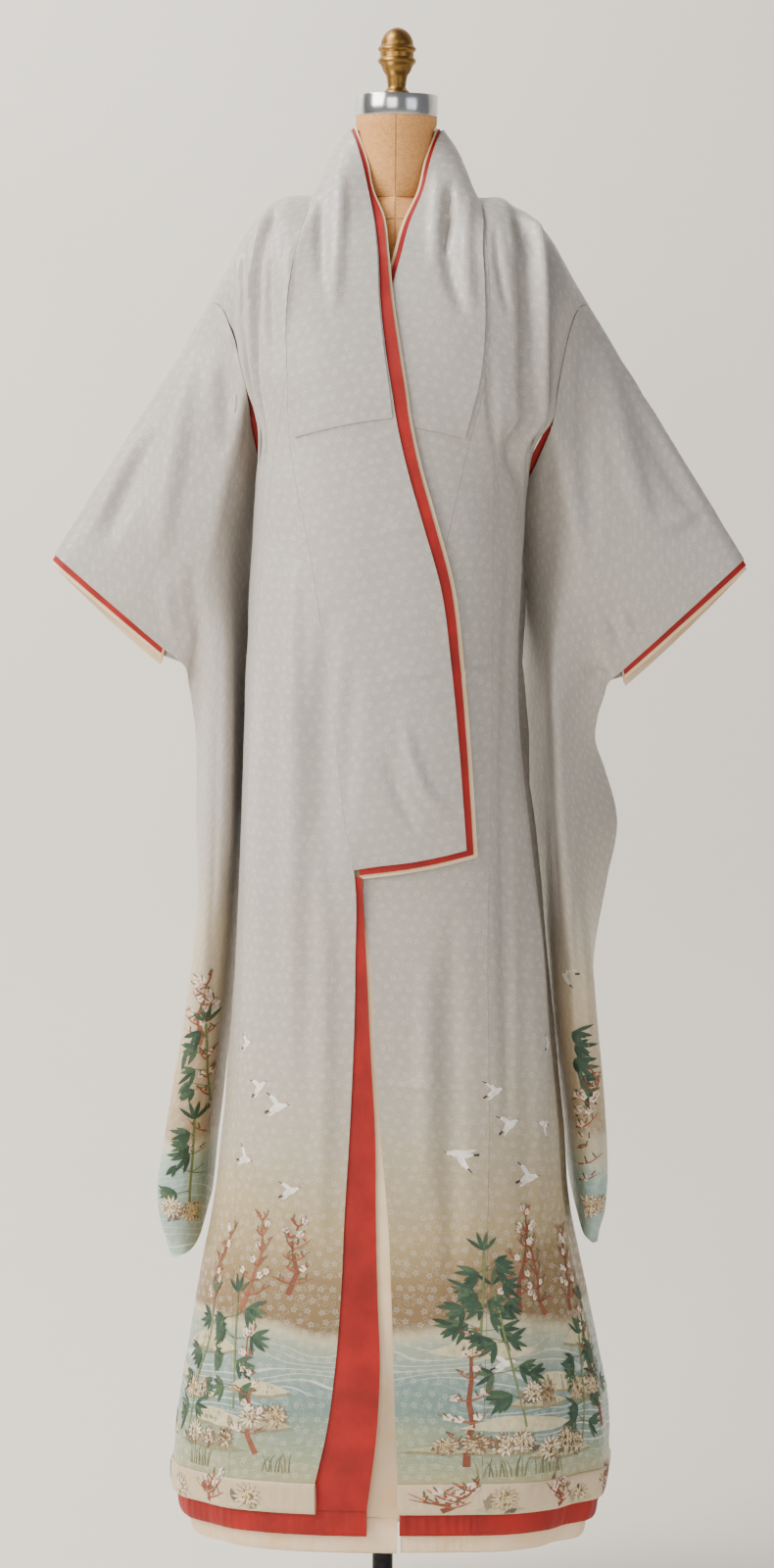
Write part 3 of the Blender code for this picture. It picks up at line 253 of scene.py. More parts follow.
Edge = namedtuple("Edge", "z left right red_left white_left")
EDGES = [
    Edge(1.050, 0.0942, -0.1600, 0.0100, 0.0165),
    Edge(1.212, 0.0805, -0.1380, 0.0115, 0.0180),
    Edge(1.389, 0.0593, -0.1050, 0.0135, 0.0190),
    Edge(1.465, 0.0385, -0.0850, 0.0145, 0.0195),
    Edge(1.581, 0.0080, -0.0550, 0.0155, 0.0195),
    Edge(1.658, -0.0051, -0.0360, 0.0170, 0.0205),
    Edge(1.738, -0.0170, -0.0150, 0.0150, 0.0185),
    Edge(1.801, -0.0202, 0.0026, 0.0105, 0.0140),
    Edge(1.875, -0.0298, 0.0220, 0.0105, 0.0140),
]

Stand = namedtuple("Stand", "half level seam out deep up")
STANDS = [
    Stand("front", 0.67, 0.1165, 0.0355, -0.0560, 1.9050),
    Stand("front", 0.78, 0.1110, 0.0440, -0.0400, 1.9430),
    Stand("front", 0.89, 0.1040, 0.0530, -0.0210, 1.9740),
    Stand("front", 0.95, 0.1000, 0.0575, -0.0090, 1.9850),
    Stand("front", 1.00, 0.0975, 0.0595, 0.0030, 1.9890),
    Stand("back", 0.95, 0.0960, 0.0590, 0.0150, 1.9890),
    Stand("back", 0.89, 0.0900, 0.0560, 0.0270, 1.9860),
    Stand("back", 0.78, 0.0700, 0.0390, 0.0480, 1.9790),
    Stand("back", 0.67, 0.0000, 0.0000, 0.0620, 1.9740),
]

Fold = namedtuple("Fold", "side turn drift width low high depth_low depth_high")
FOLDS = [
    Fold("left", 60, -31, 5, 1.50, 1.885, -0.006, -0.016),
    Fold("left", 68, -31, 4, 1.50, 1.870, -0.002, -0.008),
    Fold("right", 49, -20, 5, 1.50, 1.880, -0.008, -0.017),
    Fold("right", 60, -26, 6, 1.54, 1.880, 0.004, 0.010),
    Fold("right", 68, -26, 4, 1.52, 1.880, -0.006, -0.012),
    Fold("left", 98, 0, 14, 0.12, 1.42, -0.008, -0.012),
    Fold("left", 122, 0, 16, 0.12, 1.50, 0.016, 0.010),
    Fold("left", 146, 0, 13, 0.12, 1.55, -0.014, -0.010),
    Fold("left", 164, 0, 13, 0.12, 1.60, 0.010, 0.008),
    Fold("right", 88, 0, 10, 0.12, 1.42, -0.006, -0.014),
    Fold("right", 106, 0, 15, 0.12, 1.48, 0.012, 0.012),
    Fold("right", 130, 0, 14, 0.12, 1.52, -0.016, -0.012),
    Fold("right", 150, 0, 14, 0.12, 1.60, 0.014, 0.010),
    Fold("right", 170, 0, 12, 0.12, 1.60, -0.010, -0.006),
    Fold("left", 55, 0, 16, 0.12, 0.70, -0.007, 0.0),
    Fold("right", 30, 0, 16, 0.12, 0.80, 0.005, 0.0),
    Fold("right", 58, 0, 15, 0.12, 0.80, -0.010, 0.0),
]
LOW_ROWS = [0.228, 0.30, 0.38, 0.47, 0.57, 0.68, 0.79, 0.90, COLLAR_END, 1.085, 1.17, 1.263,
            1.36, 1.45, 1.52, 1.58]
HIGH_ROWS = [0.0, 0.1, 0.25, 0.4, 0.55, 0.67, 0.78, 0.89, 0.95]


def read(table, field, at):
    """Smooth value of one column of a table at a place along its first column."""
    keys = [row[0] for row in table]
    values = [getattr(row, field) for row in table]
    if at <= keys[0]:
        return values[0]
    if at >= keys[-1]:
        return values[-1]
    i = max(k for k in range(len(keys) - 1) if keys[k] <= at)
    span = keys[i + 1] - keys[i]
    t = (at - keys[i]) / span

    def slope(k):
        if k == 0 or k == len(keys) - 1:
            return (values[min(k + 1, len(keys) - 1)] - values[max(k - 1, 0)]) / (
                keys[min(k + 1, len(keys) - 1)] - keys[max(k - 1, 0)])
        before = (values[k] - values[k - 1]) / (keys[k] - keys[k - 1])
        after = (values[k + 1] - values[k]) / (keys[k + 1] - keys[k])
        if before * after <= 0:
            return 0.0
        return 2 * before * after / (before + after)

    rise = values[i + 1] - values[i]
    start = slope(i) * span
    finish = slope(i + 1) * span
    return (values[i] + start * t + (3 * rise - 2 * start - finish) * t * t
            + (start + finish - 2 * rise) * t ** 3)


def ease(value, low, high):
    t = min(max((value - low) / (high - low), 0.0), 1.0)
    return t * t * (3 - 2 * t)


def mix(a, b, t):
    return a + (b - a) * t


def sign(side):
    return -1 if side == "left" else 1


def level_of(z):
    if z <= UNDERARM:
        return z - UNDERARM
    rise = min((z - UNDERARM) / (SHOULDER - UNDERARM), 1.0)
    return math.asin(rise) / (math.pi / 2)


def height_of(level):
    if level <= 0:
        return UNDERARM + level
    return UNDERARM + (SHOULDER - UNDERARM) * math.sin(level * math.pi / 2)


def girth(side, half, level):
    if level <= 0:
        return read(BODY, side, UNDERARM + level), read(BODY, half, UNDERARM + level)
    return read(SHOULDERS, side, level), read(SHOULDERS, half, level)


def folds_at(angle, level):
    """How far the large folds push the cloth out at a place."""
    z = height_of(level)
    side = "left" if angle < 0 else "right"
    push = 0.0
    for fold in FOLDS:
        middle = fold.turn + fold.drift * max(level, 0.0)
        away = abs(abs(angle) - middle) / fold.width
        if fold.side != side or away >= 1:
            continue
        depth = mix(fold.depth_low, fold.depth_high, ease(z, fold.low, fold.high))
        fade = 1 - ease(z, fold.high - 0.12, fold.high)
        if fold.drift:
            depth = fold.depth_high
            fade = ease(z, fold.low, fold.low + 0.10) * (1 - ease(z, fold.high, SHOULDER - 0.001))
        push += depth * fade * math.cos(away * math.pi / 2) ** 2
    return push


def skin(angle, level, out=0.0):
    """A place on the hanging cloth, by its angle around the form and its level, pushed out."""
    side = "left" if angle < 0 else "right"
    half = "front" if abs(angle) <= 90 else "back"
    width, depth = girth(side, half, level)
    out += folds_at(angle, level)
    turned = math.radians(abs(angle))
    across = math.sin(turned) ** (2 / ROUND)
    deep = abs(math.cos(turned)) ** (2 / ROUND)
    x = (width + out) * across
    y = (depth + out) * deep
    z = UNDERARM + level
    if level > 0:
        rise = math.sin(level * math.pi / 2)
        top = read(SHOULDER_LINE, side, width * across)
        run = 0.002
        slope = (read(SHOULDER_LINE, side, width * across + run) - top) / run
        steep = math.hypot(1, slope)
        x = width * across + out * mix(across, -slope / steep, rise)
        y *= math.cos(level * math.pi / 2)
        z = UNDERARM + (top - UNDERARM) * rise + out * rise / steep
    return Vector((-x if side == "left" else x, -y if half == "front" else y, z))


def angle_at(x, level):
    side = "left" if x < 0 else "right"
    share = min(abs(x) / girth(side, "front", level)[0], 0.999)
    angle = math.degrees(math.asin(share ** (ROUND / 2)))
    return -angle if x < 0 else angle


def lap(side, half, angle, level):
    """How far the left front stands off what it laps over."""
    if side != "left" or half != "front":
        return 0.0
    stand = mix(LAP_HEM, LAP_COLLAR, ease(height_of(level), 0.90, 1.0))
    return stand * ease(angle, -78, -50) * (1 - ease(level, 0.5, 0.95))


def inner_turn(side, level):
    return angle_at(read(FRONTS, "inner_" + side, height_of(level)), level)


def okumi_turn(side, level):
    return angle_at(read(FRONTS, "okumi_" + side, height_of(level)), level)


def side_turn(side, level, top):
    """How far around the body the side seam, or the armhole, lies."""
    z = height_of(level)
    around = mix(112 if side == "left" else 110, 90, ease(z, 1.0, 1.50))
    return mix(around, top, ease(z, 1.50, UNDERARM))


def front_columns(side, level):
    inner = abs(okumi_turn(side, level))
    if level > OKUMI_TOP:
        inner = abs(inner_turn(side, level))
    for stand in STANDS:
        if stand.half == "front" and abs(stand.level - level) < 0.001:
            inner = abs(angle_at(sign(side) * stand.seam, level))
    inner += SEAM_TURN
    outer = side_turn(side, level, ARMHOLE_TURN) - SEAM_TURN
    even = [mix(inner, outer, i / BODY_STRIPS) for i in range(BODY_STRIPS + 1)]
    shoulder = SHOULDER_CREASES[side]
    crease = shoulder.turn - shoulder.drift * max(level, 0)
    second = crease + shoulder.apart - shoulder.closing * max(level, 0)
    start = crease - CREASE_EDGE
    before = mix(inner, start, 0.6)
    if side == "right" or start < inner + CREASE_ROOM:
        start = mix(inner, crease, shoulder.share)
        before = mix(inner, crease, shoulder.share / 2)
    follow = [inner, before, start, crease, mix(crease, second, 0.5), second, mix(second, outer, 0.5), outer]
    share = ease(level, -0.10, 0.0) if level < 0 else 1.0
    return [mix(a, b, share) for a, b in zip(even, follow)]


def back_columns(side, level):
    outer = side_turn(side, level, 180 - ARMHOLE_TURN) + SEAM_TURN
    inner = 180 - SEAM_TURN
    for stand in STANDS:
        if stand.half == "back" and abs(stand.level - level) < 0.001 and stand.seam > 0:
            inner = 180 - abs(angle_at(sign(side) * stand.seam, level)) - SEAM_TURN
    even = [mix(inner, outer, i / BODY_STRIPS) for i in range(BODY_STRIPS + 1)]
    top = [180 - a for a in front_columns(side, 1.0)]
    share = ease(level, 0.6, 0.97)
    middle = [mix(a, b, share) for a, b in zip(even, top)]
    return [inner] + middle[1:-1] + [outer]


def smooth_curve(points, count):
    """Even places along a smooth curve through points."""
    gaps = np.maximum(np.linalg.norm(np.diff(points, axis=0), axis=1), 1e-5)
    keys = np.concatenate(([0.0], np.cumsum(gaps)))
    slopes = np.diff(points, axis=0) / gaps[:, None]
    tangents = np.empty_like(points)
    tangents[0], tangents[-1] = slopes[0], slopes[-1]
    before, after = gaps[:-1, None], gaps[1:, None]
    tangents[1:-1] = (slopes[:-1] * after + slopes[1:] * before) / (before + after)
    places = np.linspace(0, keys[-1], count + 1)
    spot = np.clip(np.searchsorted(keys, places, side="right") - 1, 0, len(gaps) - 1)
    gap = gaps[spot][:, None]
    t = (places - keys[spot])[:, None] / gap
    return (points[spot] * (1 + 2 * t) * (1 - t) ** 2 + tangents[spot] * gap * t * (1 - t) ** 2
            + points[spot + 1] * t * t * (3 - 2 * t) + tangents[spot + 1] * gap * t * t * (t - 1))


def fine_cloth(grid, spacing):
    """A fine even grid of points on the cloth that a coarse grid gives."""
    points = np.array([[tuple(point) for point in line] for line in grid])
    for _ in range(2):
        lengths = np.linalg.norm(np.diff(points, axis=0), axis=2).sum(axis=0)
        count = max(int(math.ceil(lengths.mean() / spacing)), 3)
        points = np.stack([smooth_curve(points[:, i], count) for i in range(points.shape[1])])
    return points


def facing_of(points):
    """A unit normal at each point of a fine grid."""
    across = np.cross(np.gradient(points, axis=0), np.gradient(points, axis=1))
    return across / np.maximum(np.linalg.norm(across, axis=2, keepdims=True), 1e-12)


# Creases put in where the photo has them, as places on the picture of the front or back
Crease = namedtuple("Crease", "x0 z0 x1 z1 width depth bow")
FRONT_CREASES = [
    # body, below the chest
    Crease(-0.128, 1.42, -0.122, 0.74, 0.022, 0.0053, 0.000),
    Crease(-0.082, 1.36, -0.078, 0.96, 0.026, -0.0045, 0.006),
    Crease(-0.088, 1.10, -0.084, 0.52, 0.018, 0.0033, -0.004),
    Crease(0.152, 1.46, 0.158, 0.66, 0.014, -0.0053, 0.004),
    Crease(0.176, 1.30, 0.202, 0.48, 0.020, 0.0045, -0.006),
    Crease(0.082, 0.98, 0.090, 0.44, 0.024, -0.0045, 0.003),
    Crease(0.048, 0.92, 0.052, 0.60, 0.020, 0.0030, 0.000),
    Crease(-0.010, 1.281, 0.058, 1.280, 0.006, 0.0018, 0.002),
    Crease(0.080, 1.279, 0.136, 1.276, 0.006, 0.0018, -0.001),
    Crease(-0.014, 1.468, 0.034, 1.462, 0.008, 0.0016, 0.002),
    Crease(0.000, 0.745, 0.106, 0.750, 0.010, 0.0024, 0.002),
    Crease(-0.186, 0.640, -0.078, 0.505, 0.008, -0.0036, 0.004),
    Crease(-0.182, 0.628, -0.070, 0.486, 0.010, 0.0027, 0.004),
    Crease(-0.236, 0.560, -0.226, 0.300, 0.016, -0.0039, 0.003),
    Crease(0.206, 0.560, 0.228, 0.290, 0.022, -0.0045, 0.004),
    Crease(0.016, 1.220, 0.052, 1.120, 0.012, 0.0033, 0.006),
    Crease(-0.006, 1.180, 0.040, 1.070, 0.012, -0.0030, 0.006),
    Crease(0.028, 1.155, 0.078, 1.095, 0.010, 0.0027, 0.004),
    Crease(-0.050, 1.300, -0.058, 1.060, 0.020, -0.0027, 0.002),
    # shoulders and chest
    Crease(-0.096, 1.905, -0.094, 1.78, 0.012, -0.0040, 0.002),
    Crease(-0.070, 1.93, -0.078, 1.74, 0.014, 0.0040, 0.000),
    Crease(-0.136, 1.840, -0.142, 1.70, 0.010, 0.0022, 0.000),
    Crease(-0.160, 1.868, -0.152, 1.66, 0.010, -0.0030, 0.004),
    Crease(-0.212, 1.812, -0.206, 1.68, 0.007, -0.0024, 0.002),
    Crease(-0.198, 1.832, -0.196, 1.74, 0.006, -0.0022, 0.000),
    Crease(0.072, 1.92, 0.066, 1.82, 0.010, -0.0070, 0.000),
    Crease(0.066, 1.84, 0.092, 1.74, 0.012, -0.0050, 0.006),
    Crease(0.054, 1.93, 0.050, 1.80, 0.012, 0.0030, 0.000),
    Crease(0.094, 1.90, 0.100, 1.74, 0.012, 0.0030, 0.004),
    Crease(0.130, 1.870, 0.148, 1.74, 0.008, -0.0030, 0.004),
    Crease(0.146, 1.884, 0.170, 1.78, 0.007, 0.0024, 0.003),
    Crease(0.156, 1.880, 0.186, 1.80, 0.006, -0.0022, 0.003),
    Crease(0.124, 1.70, 0.134, 1.56, 0.012, -0.0022, 0.003),
    # left sleeve
    Crease(-0.234, 1.722, -0.222, 1.560, 0.020, -0.0035, -0.010),
    Crease(-0.262, 1.712, -0.304, 1.430, 0.026, 0.0050, 0.006),
    Crease(-0.304, 1.600, -0.378, 1.440, 0.022, -0.0040, 0.004),
    Crease(-0.336, 1.585, -0.404, 1.446, 0.016, 0.0026, 0.000),
    Crease(-0.262, 1.420, -0.250, 1.300, 0.016, -0.0026, 0.004),
    Crease(-0.300, 1.400, -0.282, 1.300, 0.014, 0.0020, 0.002),
    Crease(-0.214, 1.420, -0.212, 1.000, 0.012, 0.0030, 0.003),
    Crease(-0.232, 1.250, -0.236, 0.780, 0.010, -0.0026, -0.003),
    # right sleeve
    Crease(0.272, 1.720, 0.338, 1.470, 0.026, 0.0045, 0.006),
    Crease(0.246, 1.700, 0.262, 1.420, 0.020, -0.0036, 0.000),
    Crease(0.318, 1.640, 0.412, 1.470, 0.020, -0.0026, 0.006),
    Crease(0.352, 1.474, 0.412, 1.500, 0.010, 0.0024, 0.003),
    Crease(0.360, 1.460, 0.414, 1.480, 0.009, -0.0020, 0.003),
    Crease(0.286, 1.352, 0.302, 1.316, 0.009, -0.0030, 0.000),
    Crease(0.300, 1.362, 0.316, 1.330, 0.010, 0.0024, 0.000),
    Crease(0.252, 1.282, 0.296, 1.270, 0.008, -0.0030, -0.003),
    Crease(0.222, 1.240, 0.236, 0.900, 0.012, 0.0030, 0.003),
    Crease(0.246, 1.150, 0.262, 0.720, 0.010, -0.0026, 0.003),
]
BACK_CREASES = [
    Crease(-0.060, 1.80, -0.066, 1.30, 0.022, 0.0030, 0.004),
    Crease(0.074, 1.82, 0.066, 1.22, 0.024, -0.0030, 0.005),
    Crease(-0.120, 1.70, -0.110, 1.10, 0.020, -0.0030, -0.004),
    Crease(0.128, 1.74, 0.120, 1.04, 0.020, 0.0028, 0.004),
    Crease(-0.090, 1.02, -0.110, 0.34, 0.024, 0.0030, 0.005),
    Crease(0.040, 1.00, 0.052, 0.40, 0.022, -0.0030, 0.004),
    Crease(-0.070, 1.281, 0.070, 1.279, 0.007, 0.0012, 0.002),
    Crease(-0.150, 0.748, 0.150, 0.744, 0.008, 0.0012, 0.003),
    Crease(0.160, 0.640, 0.060, 0.500, 0.009, -0.0020, 0.004),
    Crease(-0.150, 1.88, -0.140, 1.66, 0.010, -0.0030, 0.003),
    Crease(0.150, 1.87, 0.138, 1.62, 0.011, -0.0030, -0.003),
    Crease(-0.262, 1.700, -0.320, 1.430, 0.026, 0.0040, 0.006),
    Crease(-0.300, 1.620, -0.380, 1.450, 0.020, -0.0030, 0.004),
    Crease(0.272, 1.710, 0.340, 1.450, 0.026, 0.0040, 0.006),
    Crease(0.318, 1.620, 0.400, 1.460, 0.020, -0.0028, 0.004),
    Crease(-0.232, 1.200, -0.240, 0.760, 0.012, 0.0026, 0.003),
    Crease(0.238, 1.180, 0.256, 0.740, 0.012, 0.0026, 0.003),
]
CREASE_STRENGTH = 1.7      # how deep the silk takes a crease, against the depths in the tables
SLOW_WAVE = 0.00045        # silk is never quite flat: waves about 15 cm long
FINE_WAVE = 0.00022        # and about 6 cm long


def softened(points, facing):
    """Lays the creases and the slight unevenness of hanging silk into a fine grid."""
    x, y, z = points[..., 0], points[..., 1], points[..., 2]
    push = np.zeros(x.shape)
    for table, toward in ((FRONT_CREASES, -1), (BACK_CREASES, 1)):
        shown = np.clip((facing[..., 1] * toward - 0.05) / 0.35, 0, 1)
        for crease in table:
            run = np.array((crease.x1 - crease.x0, crease.z1 - crease.z0))
            length = np.hypot(*run)
            along = ((x - crease.x0) * run[0] + (z - crease.z0) * run[1]) / length ** 2
            away = ((x - crease.x0) * run[1] - (z - crease.z0) * run[0]) / length
            inside = np.sin(math.pi * np.clip(along, 0, 1))
            away = np.abs(away - crease.bow * inside) / (crease.width * (0.6 + 0.4 * inside))
            push += CREASE_STRENGTH * crease.depth * np.clip(1 - away ** 2, 0, 1) ** 2 * inside ** 0.7 * shown
    push += SLOW_WAVE * np.sin(41 * x + 13 * z + 2.0 * np.sin(9 * z)) * np.sin(17 * z + 23 * x + 31 * y)
    push += FINE_WAVE * np.sin(97 * x - 39 * z + 3.0 * np.sin(7 * x + 11 * z)) * np.sin(61 * z + 29 * y)
    return points + facing * push[..., None]


def sewn_cloth(name, grid, material, thick=SHOWN_CLOTH, spacing=SPACING, outward=None):
    """A thin shell of cloth on a coarse grid, creased, with its UV map in real metres of cut cloth."""
    points = fine_cloth(grid, spacing)
    facing = facing_of(points)
    rays = points * (1, 1, 0)
    if outward:
        rays = np.zeros(points.shape)
        rays[..., 1] = -1
    if outward == "sleeve":
        rays[len(rays) // 2:, :, 1] = 1
    wrong_way = (facing * rays).sum() < 0
    if wrong_way:
        facing = -facing
    points = softened(points, facing)
    rows, columns = points.shape[:2]
    number = np.arange(rows * columns).reshape(rows, columns)
    corners = [number[:-1, :-1], number[:-1, 1:], number[1:, 1:], number[1:, :-1]]
    quads = np.stack(corners, axis=-1).reshape(-1, 4)
    if (np.cross(points[1, 0] - points[0, 0], points[0, 1] - points[0, 0]) @ facing[0, 0]) > 0:
        quads = quads[:, ::-1]
    mesh = bpy.data.meshes.new(name)
    mesh.from_pydata(points.reshape(-1, 3).tolist(), [], quads.tolist())
    along = np.concatenate(([0.0], np.cumsum(np.linalg.norm(np.diff(points, axis=0), axis=2).mean(axis=1))))
    across = np.cumsum(np.linalg.norm(np.diff(points, axis=1), axis=2), axis=1)
    across = np.concatenate((np.zeros((rows, 1)), across), axis=1)
    cut = np.stack((across, np.broadcast_to(along[:, None], (rows, columns))), axis=-1).reshape(-1, 2)
    layer = mesh.uv_layers.new(name="UVMap")
    layer.data.foreach_set("uv", cut[quads.reshape(-1)].reshape(-1))
    piece = keep_straight(bpy.data.objects.new(name, mesh), material)
    bpy.context.view_layer.objects.active = piece
    piece.select_set(True)
    bpy.ops.object.modifier_add(type="SOLIDIFY")
    piece.modifiers[0].thickness = thick
    piece.modifiers[0].offset = 0.0
    bpy.ops.object.modifier_apply(modifier=piece.modifiers[0].name)
    bpy.ops.object.shade_smooth_by_angle(angle=math.radians(60))
    piece.select_set(False)
    return piece


def body_grid(side):
    rows = [("front", z - UNDERARM) for z in LOW_ROWS] + [("front", level) for level in HIGH_ROWS]
    rows += [("front", 1.0)] + [("back", level) for level in reversed(HIGH_ROWS)]
    rows += [("back", z - UNDERARM) for z in reversed(LOW_ROWS)]
    grid = []
    for half, level in rows:
        turns = front_columns(side, level) if half == "front" else back_columns(side, level)
        line = []
        for around in turns:
            angle = sign(side) * around
            line.append(skin(angle, level, CLOTH / 2 + lap(side, half, angle, level)))
        grid.append(line)
    return grid


Tint = namedtuple("Tint", "z shade water")
BODY_TINTS = [
    Tint(0.180, "#C4B284", 0.0),
    Tint(0.232, "#A49F76", 0.0),
    Tint(0.272, "#8B977B", 0.2),
    Tint(0.300, "#6F8880", 1.0),
    Tint(0.360, "#76908A", 1.0),
    Tint(0.408, "#98A48F", 0.6),
    Tint(0.422, "#BDB693", 0.0),
    Tint(0.436, "#7F6642", 0.0),
    Tint(0.500, "#8E764F", 0.0),
    Tint(0.580, "#AB9870", 0.0),
    Tint(0.680, "#B2A792", 0.0),
    Tint(0.790, "#ADA59C", 0.0),
    Tint(1.200, "#B1AAA4", 0.0),
    Tint(1.950, "#AFA9A2", 0.0),
]


FLOWER_ROW = 0.0155        # from one row of woven flowers to the next
FLOWER_STEP = 0.0170       # and from flower to flower in a row
LEAF_STEP = 0.0072         # from leaf to leaf between the flowers
WATER_STEP = 0.011         # from line to line of the flowing water


def figured_silk(name, tints, painted_flower_sheen=1.0):
    """Figured silk: a satin ground with small woven five-petalled flowers that shine more than it, and a
    painted sheen that makes them a little lighter in colour.

    The dyer shades it from grey through beige and sand to water at its foot, with mist edges.
    """
    material, tree, shader = new_material(name)
    cut = add(tree, "UVMap", uv_map="UVMap")
    parts = add(tree, "SeparateXYZ", {0: cut})
    # one flower every 17 mm, and each row half a step over from the last
    row_place = add(tree, "Math", {0: parts.outputs[1], 1: 1 / FLOWER_ROW}, operation="MULTIPLY")
    row = add(tree, "Math", {0: row_place}, operation="FLOOR")
    shift = add(tree, "Math", {0: row, 1: 0.5}, operation="MULTIPLY")
    column_place = add(tree, "Math", {0: parts, 1: 1 / FLOWER_STEP, 2: shift}, operation="MULTIPLY_ADD")
    column = add(tree, "Math", {0: column_place}, operation="FLOOR")
    cell = add(tree, "CombineXYZ", {0: column, 1: row})
    chance = add(tree, "TexWhiteNoise", {"Vector": cell}, noise_dimensions="2D")
    inside_cell = add(tree, "CombineXYZ", {0: column_place, 1: row_place})
    local = add(tree, "VectorMath", {0: inside_cell, 1: cell}, operation="SUBTRACT")
    moved = add(tree, "VectorMath",
                {0: chance.outputs["Color"], 1: (-0.42, -0.42, 0.0), 2: local},
                operation="MULTIPLY_ADD")
    centred = add(tree, "VectorMath", {0: moved, 1: (0.29, 0.29, 0.0)}, operation="SUBTRACT")
    flat = add(tree, "VectorMath", {0: centred, 1: (1.0, 1.0, 0.0)}, operation="MULTIPLY")
    away = add(tree, "VectorMath", {0: flat}, operation="LENGTH")
    spot = add(tree, "SeparateXYZ", {0: flat})
    angle = add(tree, "Math", {0: spot.outputs[1], 1: spot}, operation="ARCTAN2")
    twist = add(tree, "Math", {0: chance.outputs["Value"], 1: 6.3}, operation="MULTIPLY")
    petals = add(tree, "Math", {0: angle, 1: 5.0, 2: twist}, operation="MULTIPLY_ADD")
    waved = add(tree, "Math", {0: petals}, operation="COSINE")
    reach = add(tree, "Math", {0: waved, 1: 0.062, 2: 0.225}, operation="MULTIPLY_ADD")
    edge = add(tree, "Math", {0: reach, 1: away.outputs["Value"]}, operation="SUBTRACT")
    bloom = add(tree, "MapRange", {0: edge, 1: -0.03, 2: 0.04})
    eye = add(tree, "MapRange", {0: away.outputs["Value"], 1: 0.05, 2: 0.10})
    whole = add(tree, "Math", {0: bloom, 1: eye}, operation="MULTIPLY")
    # small curled leaves between the flowers, 7 mm apart
    leafy = add(tree, "TexVoronoi", {"Vector": cut, "Scale": 1 / LEAF_STEP}, feature="F1")
    curl = add(tree, "Math", {0: leafy.outputs["Distance"], 1: 0.36}, operation="SUBTRACT")
    rim = add(tree, "Math", {0: curl}, operation="ABSOLUTE")
    leaf = add(tree, "MapRange", {0: rim, 1: 0.05, 2: 0.10, 3: 0.5, 4: 0.0})
    flower = add(tree, "Math", {0: whole, 1: leaf}, operation="MAXIMUM")
    # dyed ground by height, with drifting mist edges
    place = add(tree, "TexCoord")
    stretched = add(tree, "Mapping", {0: place.outputs["Object"], 3: (3.2, 3.2, 9.0)})
    mist = add(tree, "TexNoise", {"Vector": stretched, "Scale": 1.0, "Detail": 2.0,
                                  "Roughness": 0.35, "Distortion": 0.4})
    height = add(tree, "SeparateXYZ", {0: place.outputs["Object"]})
    drift = add(tree, "Math", {0: mist, 1: 0.5}, operation="SUBTRACT")
    drifted = add(tree, "Math", {0: drift, 1: 0.16, 2: height.outputs[2]}, operation="MULTIPLY_ADD")
    low, high = tints[0].z, tints[-1].z
    share = add(tree, "MapRange", {0: drifted, 1: low, 2: high})
    ground = add(tree, "ValToRGB", {0: share})
    water = add(tree, "ValToRGB", {0: share})
    for i, tint in enumerate(tints):
        for ramp, value in ((ground, colour(tint.shade)), (water, [tint.water] * 3 + [1.0])):
            stops = ramp.color_ramp.elements
            at = (tint.z - low) / (high - low)
            stop = stops[i] if i < 2 else stops.new(at)
            stop.position = at
            stop.color = value
    # flowing water drawn as fine pale lines 11 mm apart
    flow = add(tree, "TexNoise", {"Vector": stretched, "Scale": 1.9, "Detail": 1.0})
    phase = add(tree, "Math", {0: flow, 1: 0.09, 2: height.outputs[2]}, operation="MULTIPLY_ADD")
    lines = add(tree, "Math", {0: phase, 1: 2 * math.pi / WATER_STEP}, operation="MULTIPLY")
    wave = add(tree, "Math", {0: lines}, operation="SINE")
    thin = add(tree, "MapRange", {0: wave, 1: 0.80, 2: 0.97})
    broken = add(tree, "MapRange", {0: mist, 1: 0.42, 2: 0.56})
    drawn = add(tree, "Math", {0: thin, 1: broken}, operation="MULTIPLY")
    shown = add(tree, "Math", {0: drawn, 1: water}, operation="MULTIPLY")
    lined = add(tree, "Mix", {0: shown, 6: ground, 7: colour("#D5DACB")}, data_type="RGBA")
    # age: slow changes of tone over a hand's width
    age = add(tree, "TexNoise", {"Vector": place.outputs["Object"], "Scale": 7.0, "Detail": 4.0})
    tone = add(tree, "MapRange", {0: age, 1: 0.3, 2: 0.7, 3: 0.955, 4: 1.035})
    toned = add(tree, "Mix", {0: 1.0, 6: lined.outputs[2], 7: tone},
                data_type="RGBA", blend_type="MULTIPLY")
    # painted sheen: the woven flowers and leaves are mixed toward a lighter colour; their lower roughness
    # below is their real shine
    painted_sheen = add(tree, "Math", {0: flower, 1: 0.24 * painted_flower_sheen}, operation="MULTIPLY")
    dyed_with_painted_light = add(tree, "Mix", {0: painted_sheen, 6: toned.outputs[2], 7: colour("#E9E6DA")}, data_type="RGBA")
    tree.links.new(dyed_with_painted_light.outputs[2], shader.inputs["Base Color"])
    shine = add(tree, "MapRange", {0: flower, 3: 0.46, 4: 0.28})
    tree.links.new(shine.outputs[0], shader.inputs["Roughness"])
    # threads 0.2 mm apart are too fine to show, so the ribs are drawn 1.1 mm apart
    thread = add(tree, "Mapping", {0: cut, 3: (900.0, 260.0, 1.0)})
    weave = add(tree, "TexNoise", {"Vector": thread, "Scale": 1.0, "Detail": 2.0})
    relief = add(tree, "Math", {0: weave, 1: 0.35, 2: flower}, operation="MULTIPLY_ADD")
    bump = add(tree, "Bump", {"Strength": 0.35, "Distance": 0.00035, "Height": relief})
    tree.links.new(bump.outputs[0], shader.inputs["Normal"])
    shader.inputs["Sheen Weight"].default_value = 0.14
    shader.inputs["Sheen Roughness"].default_value = 0.35
    shader.inputs["Specular IOR Level"].default_value = 0.58
    return material


body_silk = figured_silk("dyed_figured_silk", BODY_TINTS)
body_panels = []
for side in ("left", "right"):
    panel = sewn_cloth("body_silk_" + side, body_grid(side), body_silk)
    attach(panel, "root")
    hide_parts("body_" + side)
    body_panels.append(panel)


